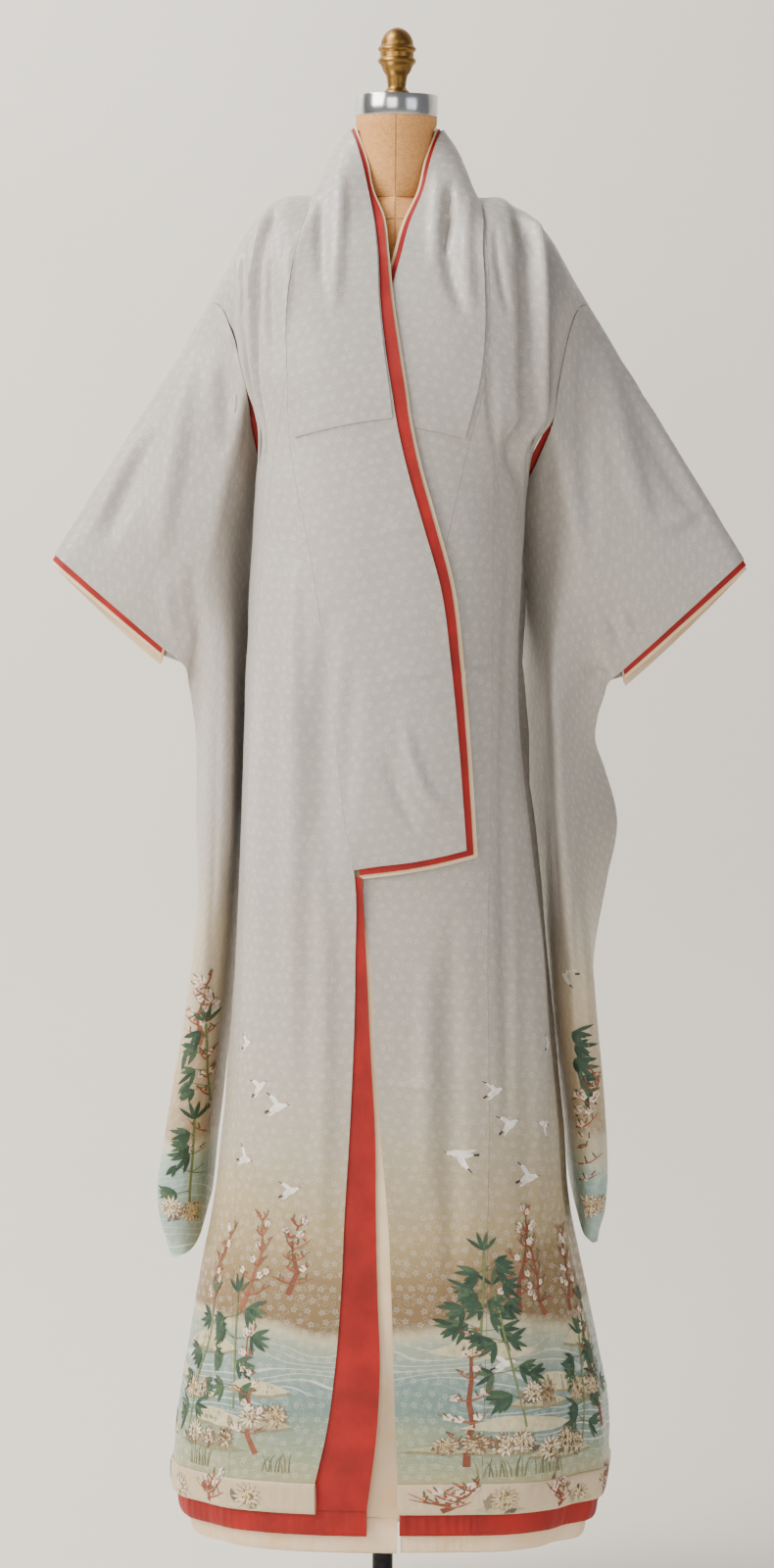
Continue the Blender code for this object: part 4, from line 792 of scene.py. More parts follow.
# The two front widths: the same silk, a half width each, sewn along the fronts from the hem up to
# a point under the collar.
def strip_grid(rows, start, finish, strips, out, side="right"):
    grid = []
    for level in rows:
        line = []
        for i in range(strips + 1):
            angle = mix(start(level), finish(level), i / strips)
            line.append(skin(angle, level, out(level) + lap(side, "front", angle, level)))
        grid.append(line)
    return grid


OKUMI_POINT = 0.25         # the level where it runs out to a point
POINT_SHARE = 0.6          # and half the point's width, as a share of the seam gap


def okumi_edges(side):
    """The edge next to the collar and the one next to the body, as turns at a level."""
    def inner(level):
        share = -POINT_SHARE if level == OKUMI_POINT else 1.0
        return inner_turn(side, level) + sign(side) * SEAM_TURN * share

    def outer(level):
        if level == OKUMI_POINT:
            return inner_turn(side, level) + sign(side) * SEAM_TURN * POINT_SHARE
        return okumi_turn(side, level) - sign(side) * SEAM_TURN
    return inner, outer


for side in ("left", "right"):
    rows = [z - UNDERARM for z in LOW_ROWS] + [0.0, OKUMI_TOP, OKUMI_POINT]
    grid = strip_grid(rows, *okumi_edges(side), 4, lambda level: CLOTH / 2, side)
    panel = sewn_cloth("front_width_silk_" + side, grid, body_silk)
    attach(panel, "root")
    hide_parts("okumi_" + side)
    body_panels.append(panel)


# The collar: a doubled strip of the same silk, 15 cm wide at its ends, sewn along both fronts and
# around the neck, with a shorter second strip sewn over it where a wearer's neck would soil it.
COLLAR_STRIPS = 5
LINING = 0.0012
OVER_COLLAR_RISE = 0.0008


def collar_lines():
    """The collar's cross lines, from the left end around the neck to the right end."""
    lines = []
    chest = [z - UNDERARM for z in LOW_ROWS if z >= COLLAR_END]
    chest += [level for level in HIGH_ROWS if level < 0.6]
    for side in ("left", "right"):
        part = []
        for level in chest:
            z = height_of(level)
            rise = mix(0.026, 0.034, ease(z, 1.45, 1.82))
            part.append(("front", side, level, inner_turn(side, level), z + rise))
        for stand in STANDS:
            seam = angle_at(sign(side) * stand.seam, stand.level)
            if stand.half == "back":
                seam = sign(side) * (180 - abs(seam))
            part.append((stand.half, side, stand.level, seam, stand))
        if side == "right":
            part = part[-2::-1]
        lines += part
    return lines


def collar_point(line, share, lift):
    """A point across the collar, 0 at its seam and 1 at its outer edge."""
    half, side, level, seam, end = line
    if isinstance(end, Stand):
        start = skin(seam, level, lift if half == "front" else 0.0)
        finish = Vector((sign(side) * end.out, end.deep, end.up))
        bow = Vector((sign(side) * 0.006, 0.003 if half == "back" else -0.006, 0.004))
        return start.lerp(finish, share) + bow * math.sin(share * math.pi)
    z = mix(height_of(level), end, share)
    edge = angle_at(read(EDGES, side, end), level_of(end))
    return skin(mix(seam, edge, share), level_of(z), lift)


def collar_grid(first, last, shares, beyond=None):
    grid = []
    for number, line in enumerate(collar_lines()):
        if not first <= number <= last:
            continue
        lift = lap(line[1], line[0], 0.0, line[2])
        points = []
        for share in shares(line):
            if share > 1:
                edge = collar_point(line, 1.0, lift)
                back = collar_point(line, 0.9, lift)
                points.append(edge + (edge - back).normalized() * beyond(line))
            else:
                points.append(collar_point(line, share, lift))
        grid.append(points)
    return grid


def coarse_facing(grid):
    rows, columns = len(grid), len(grid[0])
    result = []
    for r in range(rows):
        line = []
        for c in range(columns):
            along = grid[min(r + 1, rows - 1)][c] - grid[max(r - 1, 0)][c]
            across = grid[r][min(c + 1, columns - 1)] - grid[r][max(c - 1, 0)]
            line.append(along.cross(across).normalized())
        result.append(line)
    return result


def moved_out(grid, distance):
    return [[point + normal * distance for point, normal in zip(points, line)]
            for points, line in zip(grid, coarse_facing(grid))]


lines = collar_lines()
base = collar_grid(0, len(lines) - 1, lambda line: [i / COLLAR_STRIPS for i in range(COLLAR_STRIPS + 1)])
middle = moved_out(base, -CLOTH / 2)
for number, (half, side, level, seam, end) in enumerate(lines):
    lift = lap(side, half, 0.0, level)
    around = -sign(side) * SEAM_TURN if half == "front" else sign(side) * SEAM_TURN
    if abs(seam) > 179:
        around = 0.0
    middle[number][0] = skin(seam + around, level, CLOTH / 2 + lift)
    if abs(seam) > 179:
        middle[number][0].z += 3 * SEAM
collar = sewn_cloth("collar_silk", middle, body_silk)
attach(collar, "root")
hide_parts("collar")
body_panels.append(collar)

first = min(i for i, line in enumerate(lines) if line[2] > -0.05)
last = max(i for i, line in enumerate(lines) if line[2] > -0.05)
base = collar_grid(first, last, lambda line: [0.07, 0.2, 0.4, 0.6, 0.8, 0.99])
out = CLOTH + 2 * SEAM + LINING / 2
grid = [[point - normal * (out + (OVER_COLLAR_RISE if c == 0 else 0.0))
         for c, (point, normal) in enumerate(zip(points, line))]
        for points, line in zip(base, coarse_facing(base))]
over_collar = sewn_cloth("over_collar_silk", grid, body_silk)
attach(over_collar, "root")
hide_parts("over_collar")
body_panels.append(over_collar)


# The red and white under layers where they show: plain vermilion silk and cream satin, each edge a
# little longer than the one over it, so that it shows as a narrow border.
def plain_silk(name, shade, deep_shade, roughness, sheen):
    """Plain silk, coloured by dyeing the woven piece: one colour, with a painted shade for the cloth's folds
    laid as random patches of a deeper tone.
    """
    material, tree, shader = new_material(name)
    place = add(tree, "TexCoord")
    # painted shade: random patches mixed toward the deeper colour, standing in for the shade of the folds
    painted_fold_shade = add(tree, "TexNoise", {"Vector": place.outputs["Object"], "Scale": 22.0, "Detail": 4.0})
    spread = add(tree, "MapRange", {0: painted_fold_shade, 1: 0.32, 2: 0.68})
    dyed_with_painted_light = add(tree, "Mix", {0: spread, 6: colour(deep_shade), 7: colour(shade)}, data_type="RGBA")
    tree.links.new(dyed_with_painted_light.outputs[2], shader.inputs["Base Color"])
    # slubs in the thread, drawn 2 mm long
    fine = add(tree, "Mapping", {0: place.outputs["Object"], 3: (700.0, 700.0, 300.0)})
    weave = add(tree, "TexNoise", {"Vector": fine, "Scale": 1.0, "Detail": 2.0})
    pucker = add(tree, "TexNoise", {"Vector": place.outputs["Object"], "Scale": 60.0, "Detail": 2.0})
    relief = add(tree, "Math", {0: pucker, 1: 3.0, 2: weave}, operation="MULTIPLY_ADD")
    bump = add(tree, "Bump", {"Strength": 0.4, "Distance": 0.0004, "Height": relief})
    tree.links.new(bump.outputs[0], shader.inputs["Normal"])
    shader.inputs["Roughness"].default_value = roughness
    shader.inputs["Sheen Weight"].default_value = sheen
    shader.inputs["Sheen Roughness"].default_value = 0.4
    return material


# the second colour of each is the deeper tone of its painted fold shade
red_silk = plain_silk("vermilion_silk_cloth", "#A80800", "#860400", 0.6, 0.02)
white_satin = plain_silk("cream_white_satin", "#F8DFBC", "#EFCC9E", 0.34, 0.15)


def red_show(line):
    half, side, level, seam, end = line
    if isinstance(end, Stand):
        return 0.004 if half == "back" or end.level > 0.85 else 0.0055
    return 0.0065 if side == "right" else read(EDGES, "red_left", end)


def white_show(line):
    half, side, level, seam, end = line
    if isinstance(end, Stand):
        return 0.0065 if half == "back" or end.level > 0.85 else 0.0085
    return 0.0105 if side == "right" else read(EDGES, "white_left", end)


def layer_grid(depth_chest, depth_neck, show):
    last_line = max(i for i, line in enumerate(lines) if line[2] > 0.2)

    def shares(line):
        start = mix(0.04, 0.80, ease(height_of(line[2]), 1.05, 1.75))
        return [mix(start, 1.0, i / 3) for i in range(4)] + [2.0]

    base = collar_grid(0, last_line, shares, show)
    base.insert(0, [a + (a - b).normalized() * show(lines[0]) * 0.8 for a, b in zip(base[0], base[1])])
    grid = []
    for line, points, normals in zip([lines[0]] + lines, base, coarse_facing(base)):
        depth = mix(depth_chest, depth_neck, ease(height_of(line[2]), 1.80, 1.88)) + LINING * 0.375
        grid.append([point + normal * depth for point, normal in zip(points, normals)])
    return grid


SHOWN_LINING = 0.0008      # as thick as the linings are shown
Layer = namedtuple("Layer", "node material slot depth_chest depth_neck show flat")
for layer in (
        Layer("red_collar", red_silk, "vermilion_silk", 0.0010, 0.0010, red_show, (0.056, 1.9)),
        Layer("white_collar", white_satin, "white_satin", 0.0043, 0.0026, white_show, (0.059, 1.9))):
    grid = layer_grid(layer.depth_chest, layer.depth_neck, layer.show)
    piece = sewn_cloth(layer.node + "_cloth", grid, layer.material, thick=SHOWN_LINING, spacing=0.005)
    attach(piece, "root")
    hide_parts(layer.node)

RED_FRONT_LOW = 0.1920
RED_FRONT_TOP = 1.0155
RED_FRONT_DEPTHS = (-0.0041, -0.0019)      # how far in it lies, at the hem and above it
WHITE_FRONT_LOW = 0.1750
WHITE_FRONT_DEPTHS = (-0.0172, -0.0020)
UNDER_EDGE = 0.008
rows = [RED_FRONT_LOW - UNDERARM] + [z - UNDERARM for z in LOW_ROWS[1:8]] + [RED_FRONT_TOP - UNDERARM]
grid = strip_grid(
    rows,
    lambda level: angle_at(read(FRONTS, "inner_left", height_of(level)) - UNDER_EDGE, level),
    lambda level: angle_at(read(FRONTS, "red", height_of(level)), level), 3,
    lambda level: (mix(*RED_FRONT_DEPTHS, ease(height_of(level), HEM_BAND_TOP, 0.30))
                   - 0.0005 * ease(height_of(level), 0.90, 1.0) + LINING / 2), "left")
piece = sewn_cloth("red_front_cloth", grid, red_silk, thick=SHOWN_LINING)
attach(piece, "root")
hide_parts("red_front")

rows = [WHITE_FRONT_LOW - UNDERARM] + [z - UNDERARM for z in LOW_ROWS[:9]]
grid = strip_grid(
    rows,
    lambda level: angle_at(read(FRONTS, "red", height_of(level)) - 0.012, level),
    lambda level: angle_at(read(FRONTS, "inner_right", height_of(level)) + UNDER_EDGE, level), 3,
    lambda level: mix(*WHITE_FRONT_DEPTHS, ease(height_of(level), 0.22, 0.50)) + LINING / 2)
piece = sewn_cloth("white_front_cloth", grid, white_satin, thick=SHOWN_LINING)
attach(piece, "root")
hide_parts("white_front")


# The sleeves: the same silk, 36 cm wide and folded at the top, sewn to the armhole for 23 cm. Below
# the arm each one folds in on itself and hangs as a narrow column with a rounded lower corner.
Sleeve = namedtuple("Sleeve", "down inner flank ridge turn outer")
SLEEVES = {
    "left": [
        Sleeve(0.00, (-0.2545, 0.000, 1.7370), (-0.3020, 0.000, 1.6600),
               (-0.3500, -0.002, 1.5820), (-0.3980, -0.002, 1.5050), (-0.4460, 0.000, 1.4270)),
        Sleeve(0.23, (-0.2000, -0.004, 1.6450), (-0.2165, -0.008, 1.5540),
               (-0.2350, -0.016, 1.4630), (-0.2540, -0.015, 1.3720), (-0.2730, -0.004, 1.2810)),
        Sleeve(0.40, (-0.1880, 0.052, 1.4760), (-0.2140, 0.008, 1.4100),
               (-0.2250, -0.028, 1.3350), (-0.2430, -0.020, 1.2500), (-0.2580, 0.045, 1.1900)),
        Sleeve(0.55, (-0.1880, 0.085, 1.3300), (-0.2060, 0.012, 1.2800),
               (-0.2220, -0.032, 1.2050), (-0.2430, -0.016, 1.1230), (-0.2570, 0.066, 1.0850)),
        Sleeve(0.75, (-0.1920, 0.092, 1.1280), (-0.2060, 0.012, 1.0850),
               (-0.2260, -0.032, 1.0100), (-0.2520, -0.014, 0.9300), (-0.2560, 0.070, 0.8950)),
        Sleeve(1.00, (-0.2050, 0.092, 0.8800), (-0.2240, 0.014, 0.8380),
               (-0.2520, -0.028, 0.7650), (-0.2860, -0.012, 0.6900), (-0.2840, 0.072, 0.6580)),
        Sleeve(1.15, (-0.2240, 0.088, 0.7000), (-0.2430, 0.016, 0.6550),
               (-0.2700, -0.020, 0.6060), (-0.3010, -0.006, 0.5780), (-0.2980, 0.060, 0.5720)),
        Sleeve(1.27, (-0.2370, 0.080, 0.5700), (-0.2500, 0.024, 0.5200),
               (-0.2670, -0.006, 0.4980), (-0.2860, 0.002, 0.4930), (-0.2940, 0.050, 0.4950)),
    ],
    "right": [
        Sleeve(0.00, (0.2625, 0.000, 1.7510), (0.3120, 0.000, 1.6700),
               (0.3630, -0.002, 1.5900), (0.4140, -0.002, 1.5100), (0.4650, 0.000, 1.4290)),
        Sleeve(0.23, (0.2180, -0.004, 1.6000), (0.2310, -0.008, 1.5170),
               (0.2500, -0.016, 1.4330), (0.2695, -0.015, 1.3500), (0.2890, -0.004, 1.2660)),
        Sleeve(0.40, (0.1750, 0.060, 1.4500), (0.2020, 0.008, 1.3880),
               (0.2170, -0.031, 1.3120), (0.2380, -0.018, 1.2280), (0.2720, 0.050, 1.1860)),
        Sleeve(0.55, (0.1800, 0.088, 1.3000), (0.2020, 0.012, 1.2550),
               (0.2190, -0.034, 1.1800), (0.2450, -0.012, 1.1000), (0.3020, 0.052, 1.0850)),
        Sleeve(0.75, (0.1920, 0.092, 1.1150), (0.2160, 0.014, 1.0720),
               (0.2350, -0.030, 0.9980), (0.2640, -0.010, 0.9220), (0.2740, 0.072, 0.8920)),
        Sleeve(1.00, (0.2150, 0.092, 0.8700), (0.2300, 0.014, 0.8280),
               (0.2540, -0.028, 0.7570), (0.2870, -0.010, 0.6830), (0.2880, 0.074, 0.6550)),
        Sleeve(1.15, (0.2340, 0.088, 0.7100), (0.2500, 0.016, 0.6700),
               (0.2680, -0.020, 0.6200), (0.2900, -0.006, 0.5900), (0.2900, 0.060, 0.5850)),
        Sleeve(1.27, (0.2490, 0.080, 0.5950), (0.2600, 0.024, 0.5480),
               (0.2690, -0.006, 0.5240), (0.2810, 0.001, 0.5170), (0.2860, 0.050, 0.5180)),
    ],
}
SLEEVE_ROWS = [1.27, 1.22, 1.15, 1.06, 0.96, 0.85, 0.75, 0.65, 0.55, 0.47, 0.40, 0.34, 0.28]
SLEEVE_COLUMNS = [0.0, 0.1, 0.25, 0.38, 0.5, 0.62, 0.75, 0.87, 1.0]
ARMHOLE_END = {"left": 0.1, "right": 0.0}
SLEEVE_SEAM_TURN = 0.25
CUFF = 0.23
SLEEVE_WIDTH = 0.36
SLEEVE_CORNER = 0.09
SLEEVE_LENGTH = 1.27
BACK_CUFF_DROP = 0.012
SPACE_TURN = (0.26, 0.42)
Space = namedtuple("Space", "down inner outer")
SPACES = [
    Space(0.000, 0.0000, 0.0000),
    Space(0.013, 0.0110, 0.0090),
    Space(0.060, 0.0280, 0.0170),
    Space(0.120, 0.0410, 0.0210),
    Space(0.190, 0.0460, 0.0160),
    Space(0.230, 0.0500, 0.0085),
    Space(0.280, 0.0340, 0.0020),
    Space(0.340, 0.0110, 0.0014),
    Space(0.400, 0.0030, 0.0012),
    Space(0.600, 0.0016, 0.0012),
    Space(1.150, 0.0016, 0.0012),
    Space(1.270, 0.0010, 0.0010),
]


def curve_through(points, share):
    spans = len(points) - 1
    i = min(int(share * spans), spans - 1)
    t = share * spans - i
    p0 = points[max(i - 1, 0)]
    p1, p2 = points[i], points[i + 1]
    p3 = points[min(i + 2, spans)]
    return 0.5 * ((2 * p1) + (p2 - p0) * t + (2 * p0 - 5 * p1 + 4 * p2 - p3) * t * t
                  + (3 * p1 - p0 - 3 * p2 + p3) * t ** 3)


def sleeve_middle(side, down, share):
    """The sleeve's middle surface at a distance down the cloth and a share across it."""
    table = SLEEVES[side]
    corner_start = SLEEVE_LENGTH - SLEEVE_CORNER
    if down > corner_start:
        t = (down - corner_start) / SLEEVE_CORNER
        share *= 1 - SLEEVE_CORNER / SLEEVE_WIDTH * (1 - math.sqrt(max(1 - t * t, 0)))
    i = max(k for k in range(len(table) - 1) if table[k].down <= down or k == 0)
    t = (down - table[i].down) / (table[i + 1].down - table[i].down)
    near = []
    for k in (i - 1, i, i + 1, i + 2):
        row = table[min(max(k, 0), len(table) - 1)]
        near.append(curve_through([Vector(p) for p in row[1:]], share))
    if i == 0:
        return near[1].lerp(near[2], t)
    span = table[i + 1].down - table[i].down
    before = (near[2] - near[0]) / (table[i + 1].down - table[i - 1].down)
    after = (near[3] - near[1]) / (table[min(i + 2, len(table) - 1)].down - table[i].down)
    if i == 1:
        before = (near[2] - near[1]) / span
    rise = near[2] - near[1]
    return (near[1] + before * span * t + (3 * rise - 2 * before * span - after * span) * t * t
            + (before * span + after * span - 2 * rise) * t ** 3)


def sleeve_rows(side):
    end = ARMHOLE_END[side]
    rows = [(down, None) for down in SLEEVE_ROWS]
    rows += [(CUFF * (1 - (level - end) / (1 - end)), level) for level in HIGH_ROWS if level >= end]
    return rows + [(0.0, 1.0)]


def sleeve_levels(side):
    rows = sleeve_rows(side)
    return [("front", *row) for row in rows] + [("back", *row) for row in rows[-2::-1]]


def sleeve_grid(side):
    """The sleeve's cloth: up its front, over the fold at its top and down its back."""
    rows = sleeve_rows(side)
    middle = [[sleeve_middle(side, down, share) for share in SLEEVE_COLUMNS] for down, level in rows]
    facing = coarse_facing(middle)
    grid = []
    for turn in (-1, 1):
        part = []
        for (down, level), points, line in zip(rows, middle, facing):
            if level == 1.0:
                if turn == -1:
                    part.append(points)
                continue
            row = []
            for share, point, normal in zip(SLEEVE_COLUMNS, points, line):
                front = Vector((0, -1, 0)) * -sign(side)
                normal = front.lerp(normal, ease(down, *SPACE_TURN)).normalized()
                half = mix(read(SPACES, "inner", down), read(SPACES, "outer", down), share)
                row.append(point + normal * half * turn * sign(side))
                if turn == 1 and down < CUFF:
                    row[-1].z -= BACK_CUFF_DROP * math.sin(down / CUFF * math.pi * 0.75) * share ** 2
            part.append(row)
        grid += part if turn == -1 else part[::-1]
    return grid


TUCK = {"left": 0.008, "right": 0.012}     # how far the loose edge leans in to the body under the arm
TUCK_START = 0.34          # it leans in by the whole of that down to here
TUCK_END = 0.40            # and not at all below here


def sleeve_cloth(side):
    """The sleeve's cloth between its two faces, met to the armhole seam."""
    base = sleeve_grid(side)
    grid = moved_out(base, -sign(side) * CLOTH / 2)
    for r, (half, down, level) in enumerate(sleeve_levels(side)):
        flat_out = Vector((0, -1 if half == "front" else 1, 0))
        if down == SLEEVE_ROWS[-1]:
            soft_out = (grid[r][0] - base[r][0]).normalized().lerp(flat_out, 0.8)
            grid[r][0] = base[r][0] + soft_out.normalized() * CLOTH / 2
        if level is None:
            if half == "front" and down <= TUCK_END:
                lean = TUCK[side] * (1 - ease(down, TUCK_START, TUCK_END + 0.03))
                tuck = Vector((-sign(side) * lean, 0, 0))
                grid[r][0] += tuck
                grid[r][1] += tuck / 2
            continue
        if level == 1.0:
            shift = Vector((sign(side) * 2 * SEAM, 0, -SEAM))
            grid[r][0] = skin(sign(side) * (ARMHOLE_TURN - SEAM_TURN), 1.0, CLOTH / 2) + shift
            continue
        around = ARMHOLE_TURN + SLEEVE_SEAM_TURN
        angle = sign(side) * (around if half == "front" else 180 - around)
        lift = lap(side, half, angle, level)
        edge = skin(angle, level, lift)
        body_out = (skin(angle, level, lift + CLOTH) - edge).normalized()
        corner = (1 - max(body_out.dot(flat_out), 0.0)) * (1 - ease(level, 0.5, 0.85))
        start = edge + body_out * (CLOTH + 2 * SEAM) * corner
        grid[r][0] = start + body_out.lerp(flat_out, corner).normalized() * CLOTH / 2
    return grid


SLEEVE_TINTS = [
    Tint(0.470, "#88A8A3", 0.6),
    Tint(0.520, "#9AB3AA", 1.0),
    Tint(0.590, "#8FAFA8", 1.0),
    Tint(0.630, "#B9C3AE", 0.4),
    Tint(0.650, "#CBC5A8", 0.0),
    Tint(0.668, "#A8926F", 0.0),
    Tint(0.730, "#BCA683", 0.0),
    Tint(0.840, "#C9B797", 0.0),
    Tint(0.950, "#B9AE9C", 0.0),
    Tint(1.080, "#AEA7A0", 0.0),
    Tint(1.400, "#B1ABA4", 0.0),
    Tint(1.900, "#AFA8A2", 0.0),
]
sleeve_silk = figured_silk("dyed_figured_sleeve_silk", SLEEVE_TINTS)
sleeve_panels = {}
for side in ("left", "right"):
    panel = sewn_cloth("sleeve_silk_" + side, sleeve_cloth(side), sleeve_silk, outward="sleeve")
    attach(panel, "root")
    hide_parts("sleeve_" + side)
    sleeve_panels[side] = panel

# The sleeve's red and white layers show as borders at the cuff, and the red in the underarm slit
CUFF_RED = (0.0007, 0.008)
CUFF_WHITE = (0.0026, 0.013)
Slit = namedtuple("Slit", "down left right")
SLITS = [Slit(0.230, 0.008, 0.016), Slit(0.280, 0.016, 0.022), Slit(0.340, 0.006, 0.008)]
UNDERARM_DEPTH = 0.0012
UNDERARM_TURN = 0.003


def cuff_grid(side, depth, show):
    grid = moved_out(sleeve_grid(side), sign(side) * (depth + LINING / 2))
    rows = []
    for line, (half, down, level) in zip(grid, sleeve_levels(side)):
        if level is None or down > CUFF - 0.001:
            continue
        edge, back = line[-1], line[-2]
        rows.append([back.lerp(edge, 0.3), edge, edge + (edge - back).normalized() * show])
    return rows


def underarm_grid(side):
    part = moved_out(sleeve_grid(side), sign(side) * (UNDERARM_DEPTH + LINING / 2))
    facing = coarse_facing(part)
    rows = []
    for r, (half, down, level) in enumerate(sleeve_levels(side)):
        if half == "front" and SLITS[0].down <= round(down, 3) <= SLITS[-1].down:
            edge, next_in = part[r][0], part[r][1]
            past_edge = (part[r + 1][0] - part[r - 1][0]).cross(facing[r][0]).normalized()
            past_edge *= math.copysign(UNDERARM_TURN, past_edge.dot(edge - next_in))
            toward_body = Vector((-sign(side) * read(SLITS, side, down), 0, 0))
            rows.append([edge + past_edge + toward_body, edge + past_edge, next_in])
    return rows


Trim = namedtuple("Trim", "node grid material slot flat")
for side in ("left", "right"):
    for trim in (
            Trim("red_cuff_", cuff_grid(side, *CUFF_RED), red_silk, "vermilion_silk", (0.032, 0.46)),
            Trim("white_cuff_", cuff_grid(side, *CUFF_WHITE), white_satin, "white_satin", (0.036, 0.46)),
            Trim("red_underarm_", underarm_grid(side), red_silk, "vermilion_silk", (0.040, 0.11))):
        piece = sewn_cloth(trim.node + side + "_cloth", trim.grid, trim.material, thick=SHOWN_LINING,
                           spacing=0.004, outward="front" if trim.node == "red_underarm_" else "sleeve")
        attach(piece, "root")
        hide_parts(trim.node + side)


# The padded hem: a figured cream band along the edge, and below it the wadded rolls of the red and
# the white layer, which hold the skirt's foot out from the legs.
def hem_angles(side, start):
    level = LOW_ROWS[0] - UNDERARM
    turns = [okumi_turn(side, level) * sign(side)]
    turns += front_columns(side, level)[1:] + back_columns(side, level)[::-1][1:]
    turns = [start] + [sign(side) * around for around in turns if sign(side) * around != start]
    return [mix(turns[0], turns[1], i / 4) for i in range(4)] + turns[1:]


ROLL_RINGS = 220


def padded_roll(side, padding):
    """A wadded roll along the hem: a soft flat section carried around the skirt, and closed at its ends."""
    name = padding.name + side
    low, high = padding.low, padding.high
    angles = np.array(hem_angles(side, padding_start(side, padding)))
    angles = np.interp(np.linspace(0, len(angles) - 1, ROLL_RINGS), range(len(angles)), angles)
    sides = 20
    rings = []
    for angle in angles:
        lift = lap(side, "front", angle, HEM - UNDERARM)
        ring = []
        for i in range(sides):
            a = 2 * math.pi * i / sides
            c, s = math.cos(a), math.sin(a)
            out = padding.middle + math.copysign(abs(c) ** 0.72, c) * padding.half
            z = (low + high) / 2 + math.copysign(abs(s) ** 0.72, s) * (high - low) / 2
            pucker = math.sin(angle * 2.3 + 2 * math.sin(angle * 0.31)) * math.sin(angle * 0.9 + z * 60)
            pucker = pucker * padding.wrinkle * (0.4 + 0.6 * abs(c))
            ring.append(skin(angle, z - UNDERARM, out + lift + pucker))
        rings.append(ring)
    points = [tuple(point) for ring in rings for point in ring]
    faces = [tuple(range(sides)), tuple(reversed(range((len(rings) - 1) * sides, len(rings) * sides)))]
    for r in range(len(rings) - 1):
        for i in range(sides):
            j = (i + 1) % sides
            faces.append((r * sides + j, r * sides + i, (r + 1) * sides + i, (r + 1) * sides + j))
    mesh = bpy.data.meshes.new(name)
    mesh.from_pydata(points, [], faces)
    uv = mesh.uv_layers.new(name="UVMap")
    for polygon in mesh.polygons:
        for loop in polygon.loop_indices:
            ring, i = divmod(mesh.loops[loop].vertex_index, sides)
            uv.data[loop].uv = (math.radians(abs(angles[ring] - angles[0])) * 0.24, i / sides * 0.09)
    piece = keep_straight(bpy.data.objects.new(name, mesh), padding.material)
    bpy.context.view_layer.objects.active = piece
    piece.select_set(True)
    bpy.ops.object.mode_set(mode="EDIT")
    bpy.ops.mesh.select_all(action="SELECT")
    bpy.ops.mesh.normals_make_consistent(inside=False)
    bpy.ops.object.mode_set(mode="OBJECT")
    bpy.ops.object.shade_smooth_by_angle(angle=math.radians(50))
    piece.select_set(False)
    return piece


HEM_TINTS = [
    Tint(0.150, "#CCB28C", 0.0),
    Tint(0.200, "#D2BB98", 0.0),
    Tint(0.250, "#C6B08E", 0.0),
]
hem_silk = figured_silk("cream_figured_hem_silk", HEM_TINTS, 0.5)
Padding = namedtuple("Padding", "name node slot material middle half low high wrinkle fill")
PADDINGS = [
    Padding("hem_band_silk_", "hem_band_", "cream_hem_silk", hem_silk, CLOTH / 2, 0.0037, HEM, HEM_BAND_TOP,
            0.0004, 0.5),
    Padding("red_hem_roll_", "red_hem_", "vermilion_silk", red_silk, -0.0098, 0.0060, 0.1572, 0.1998,
            0.0010, 0.6),
    Padding("white_hem_roll_", "white_hem_", "white_satin", white_satin, -0.0228, 0.0060, 0.1322, 0.1818,
            0.0010, 0.6),
]
WHITE_ROLL_ENDS = {"left": 0.0200, "right": 0.0260}     # how far to the right each white roll ends
RED_ROLL_GAP = 0.003       # and the right red roll's distance from the front's edge


def padding_start(side, padding):
    """The turn at which a hem piece ends, beside the front opening."""
    level = HEM - UNDERARM
    if padding.material == hem_silk:
        return inner_turn(side, LOW_ROWS[0] - UNDERARM) + sign(side) * SEAM_TURN
    if padding.material == white_satin:
        return angle_at(WHITE_ROLL_ENDS[side], level)
    if side == "left":
        return angle_at(read(FRONTS, "red", HEM), level)
    return angle_at(read(FRONTS, "inner_right", HEM) + RED_ROLL_GAP, level)


for side in ("left", "right"):
    for padding in PADDINGS:
        piece = padded_roll(side, padding)
        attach(piece, "root")
        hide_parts(padding.node + side)
        if padding.material == hem_silk:
            body_panels.append(piece)


# The hand-painted design: plovers over flowing water, with bamboo, plum and chrysanthemum, in the
# dyer's own colours. Each stroke lies on the cloth as a thin skin of colour.
def hand_dye(name):
    """Dye and powdered pigment in rice paste: matt, uneven, with the stroke's own colour."""
    material, tree, shader = new_material(name)
    stroke = add(tree, "VertexColor", layer_name="dye")
    place = add(tree, "TexCoord")
    uneven = add(tree, "TexNoise", {"Vector": place.outputs["Object"], "Scale": 130.0, "Detail": 3.0})
    tone = add(tree, "MapRange", {0: uneven, 1: 0.3, 2: 0.7, 3: 0.82, 4: 1.15})
    worn = add(tree, "Mix", {0: 1.0, 6: stroke, 7: tone}, data_type="RGBA", blend_type="MULTIPLY")
    tree.links.new(worn.outputs[2], shader.inputs["Base Color"])
    shader.inputs["Roughness"].default_value = 0.6
    return material


def tree_of(pieces):
    """One search tree over the outer faces of several pieces."""
    points, faces = [], []
    for piece in pieces:
        shift = len(points)
        points += [vertex.co.copy() for vertex in piece.data.vertices]
        faces += [[shift + i for i in polygon.vertices] for polygon in piece.data.polygons]
    return BVHTree.FromPolygons(points, faces)


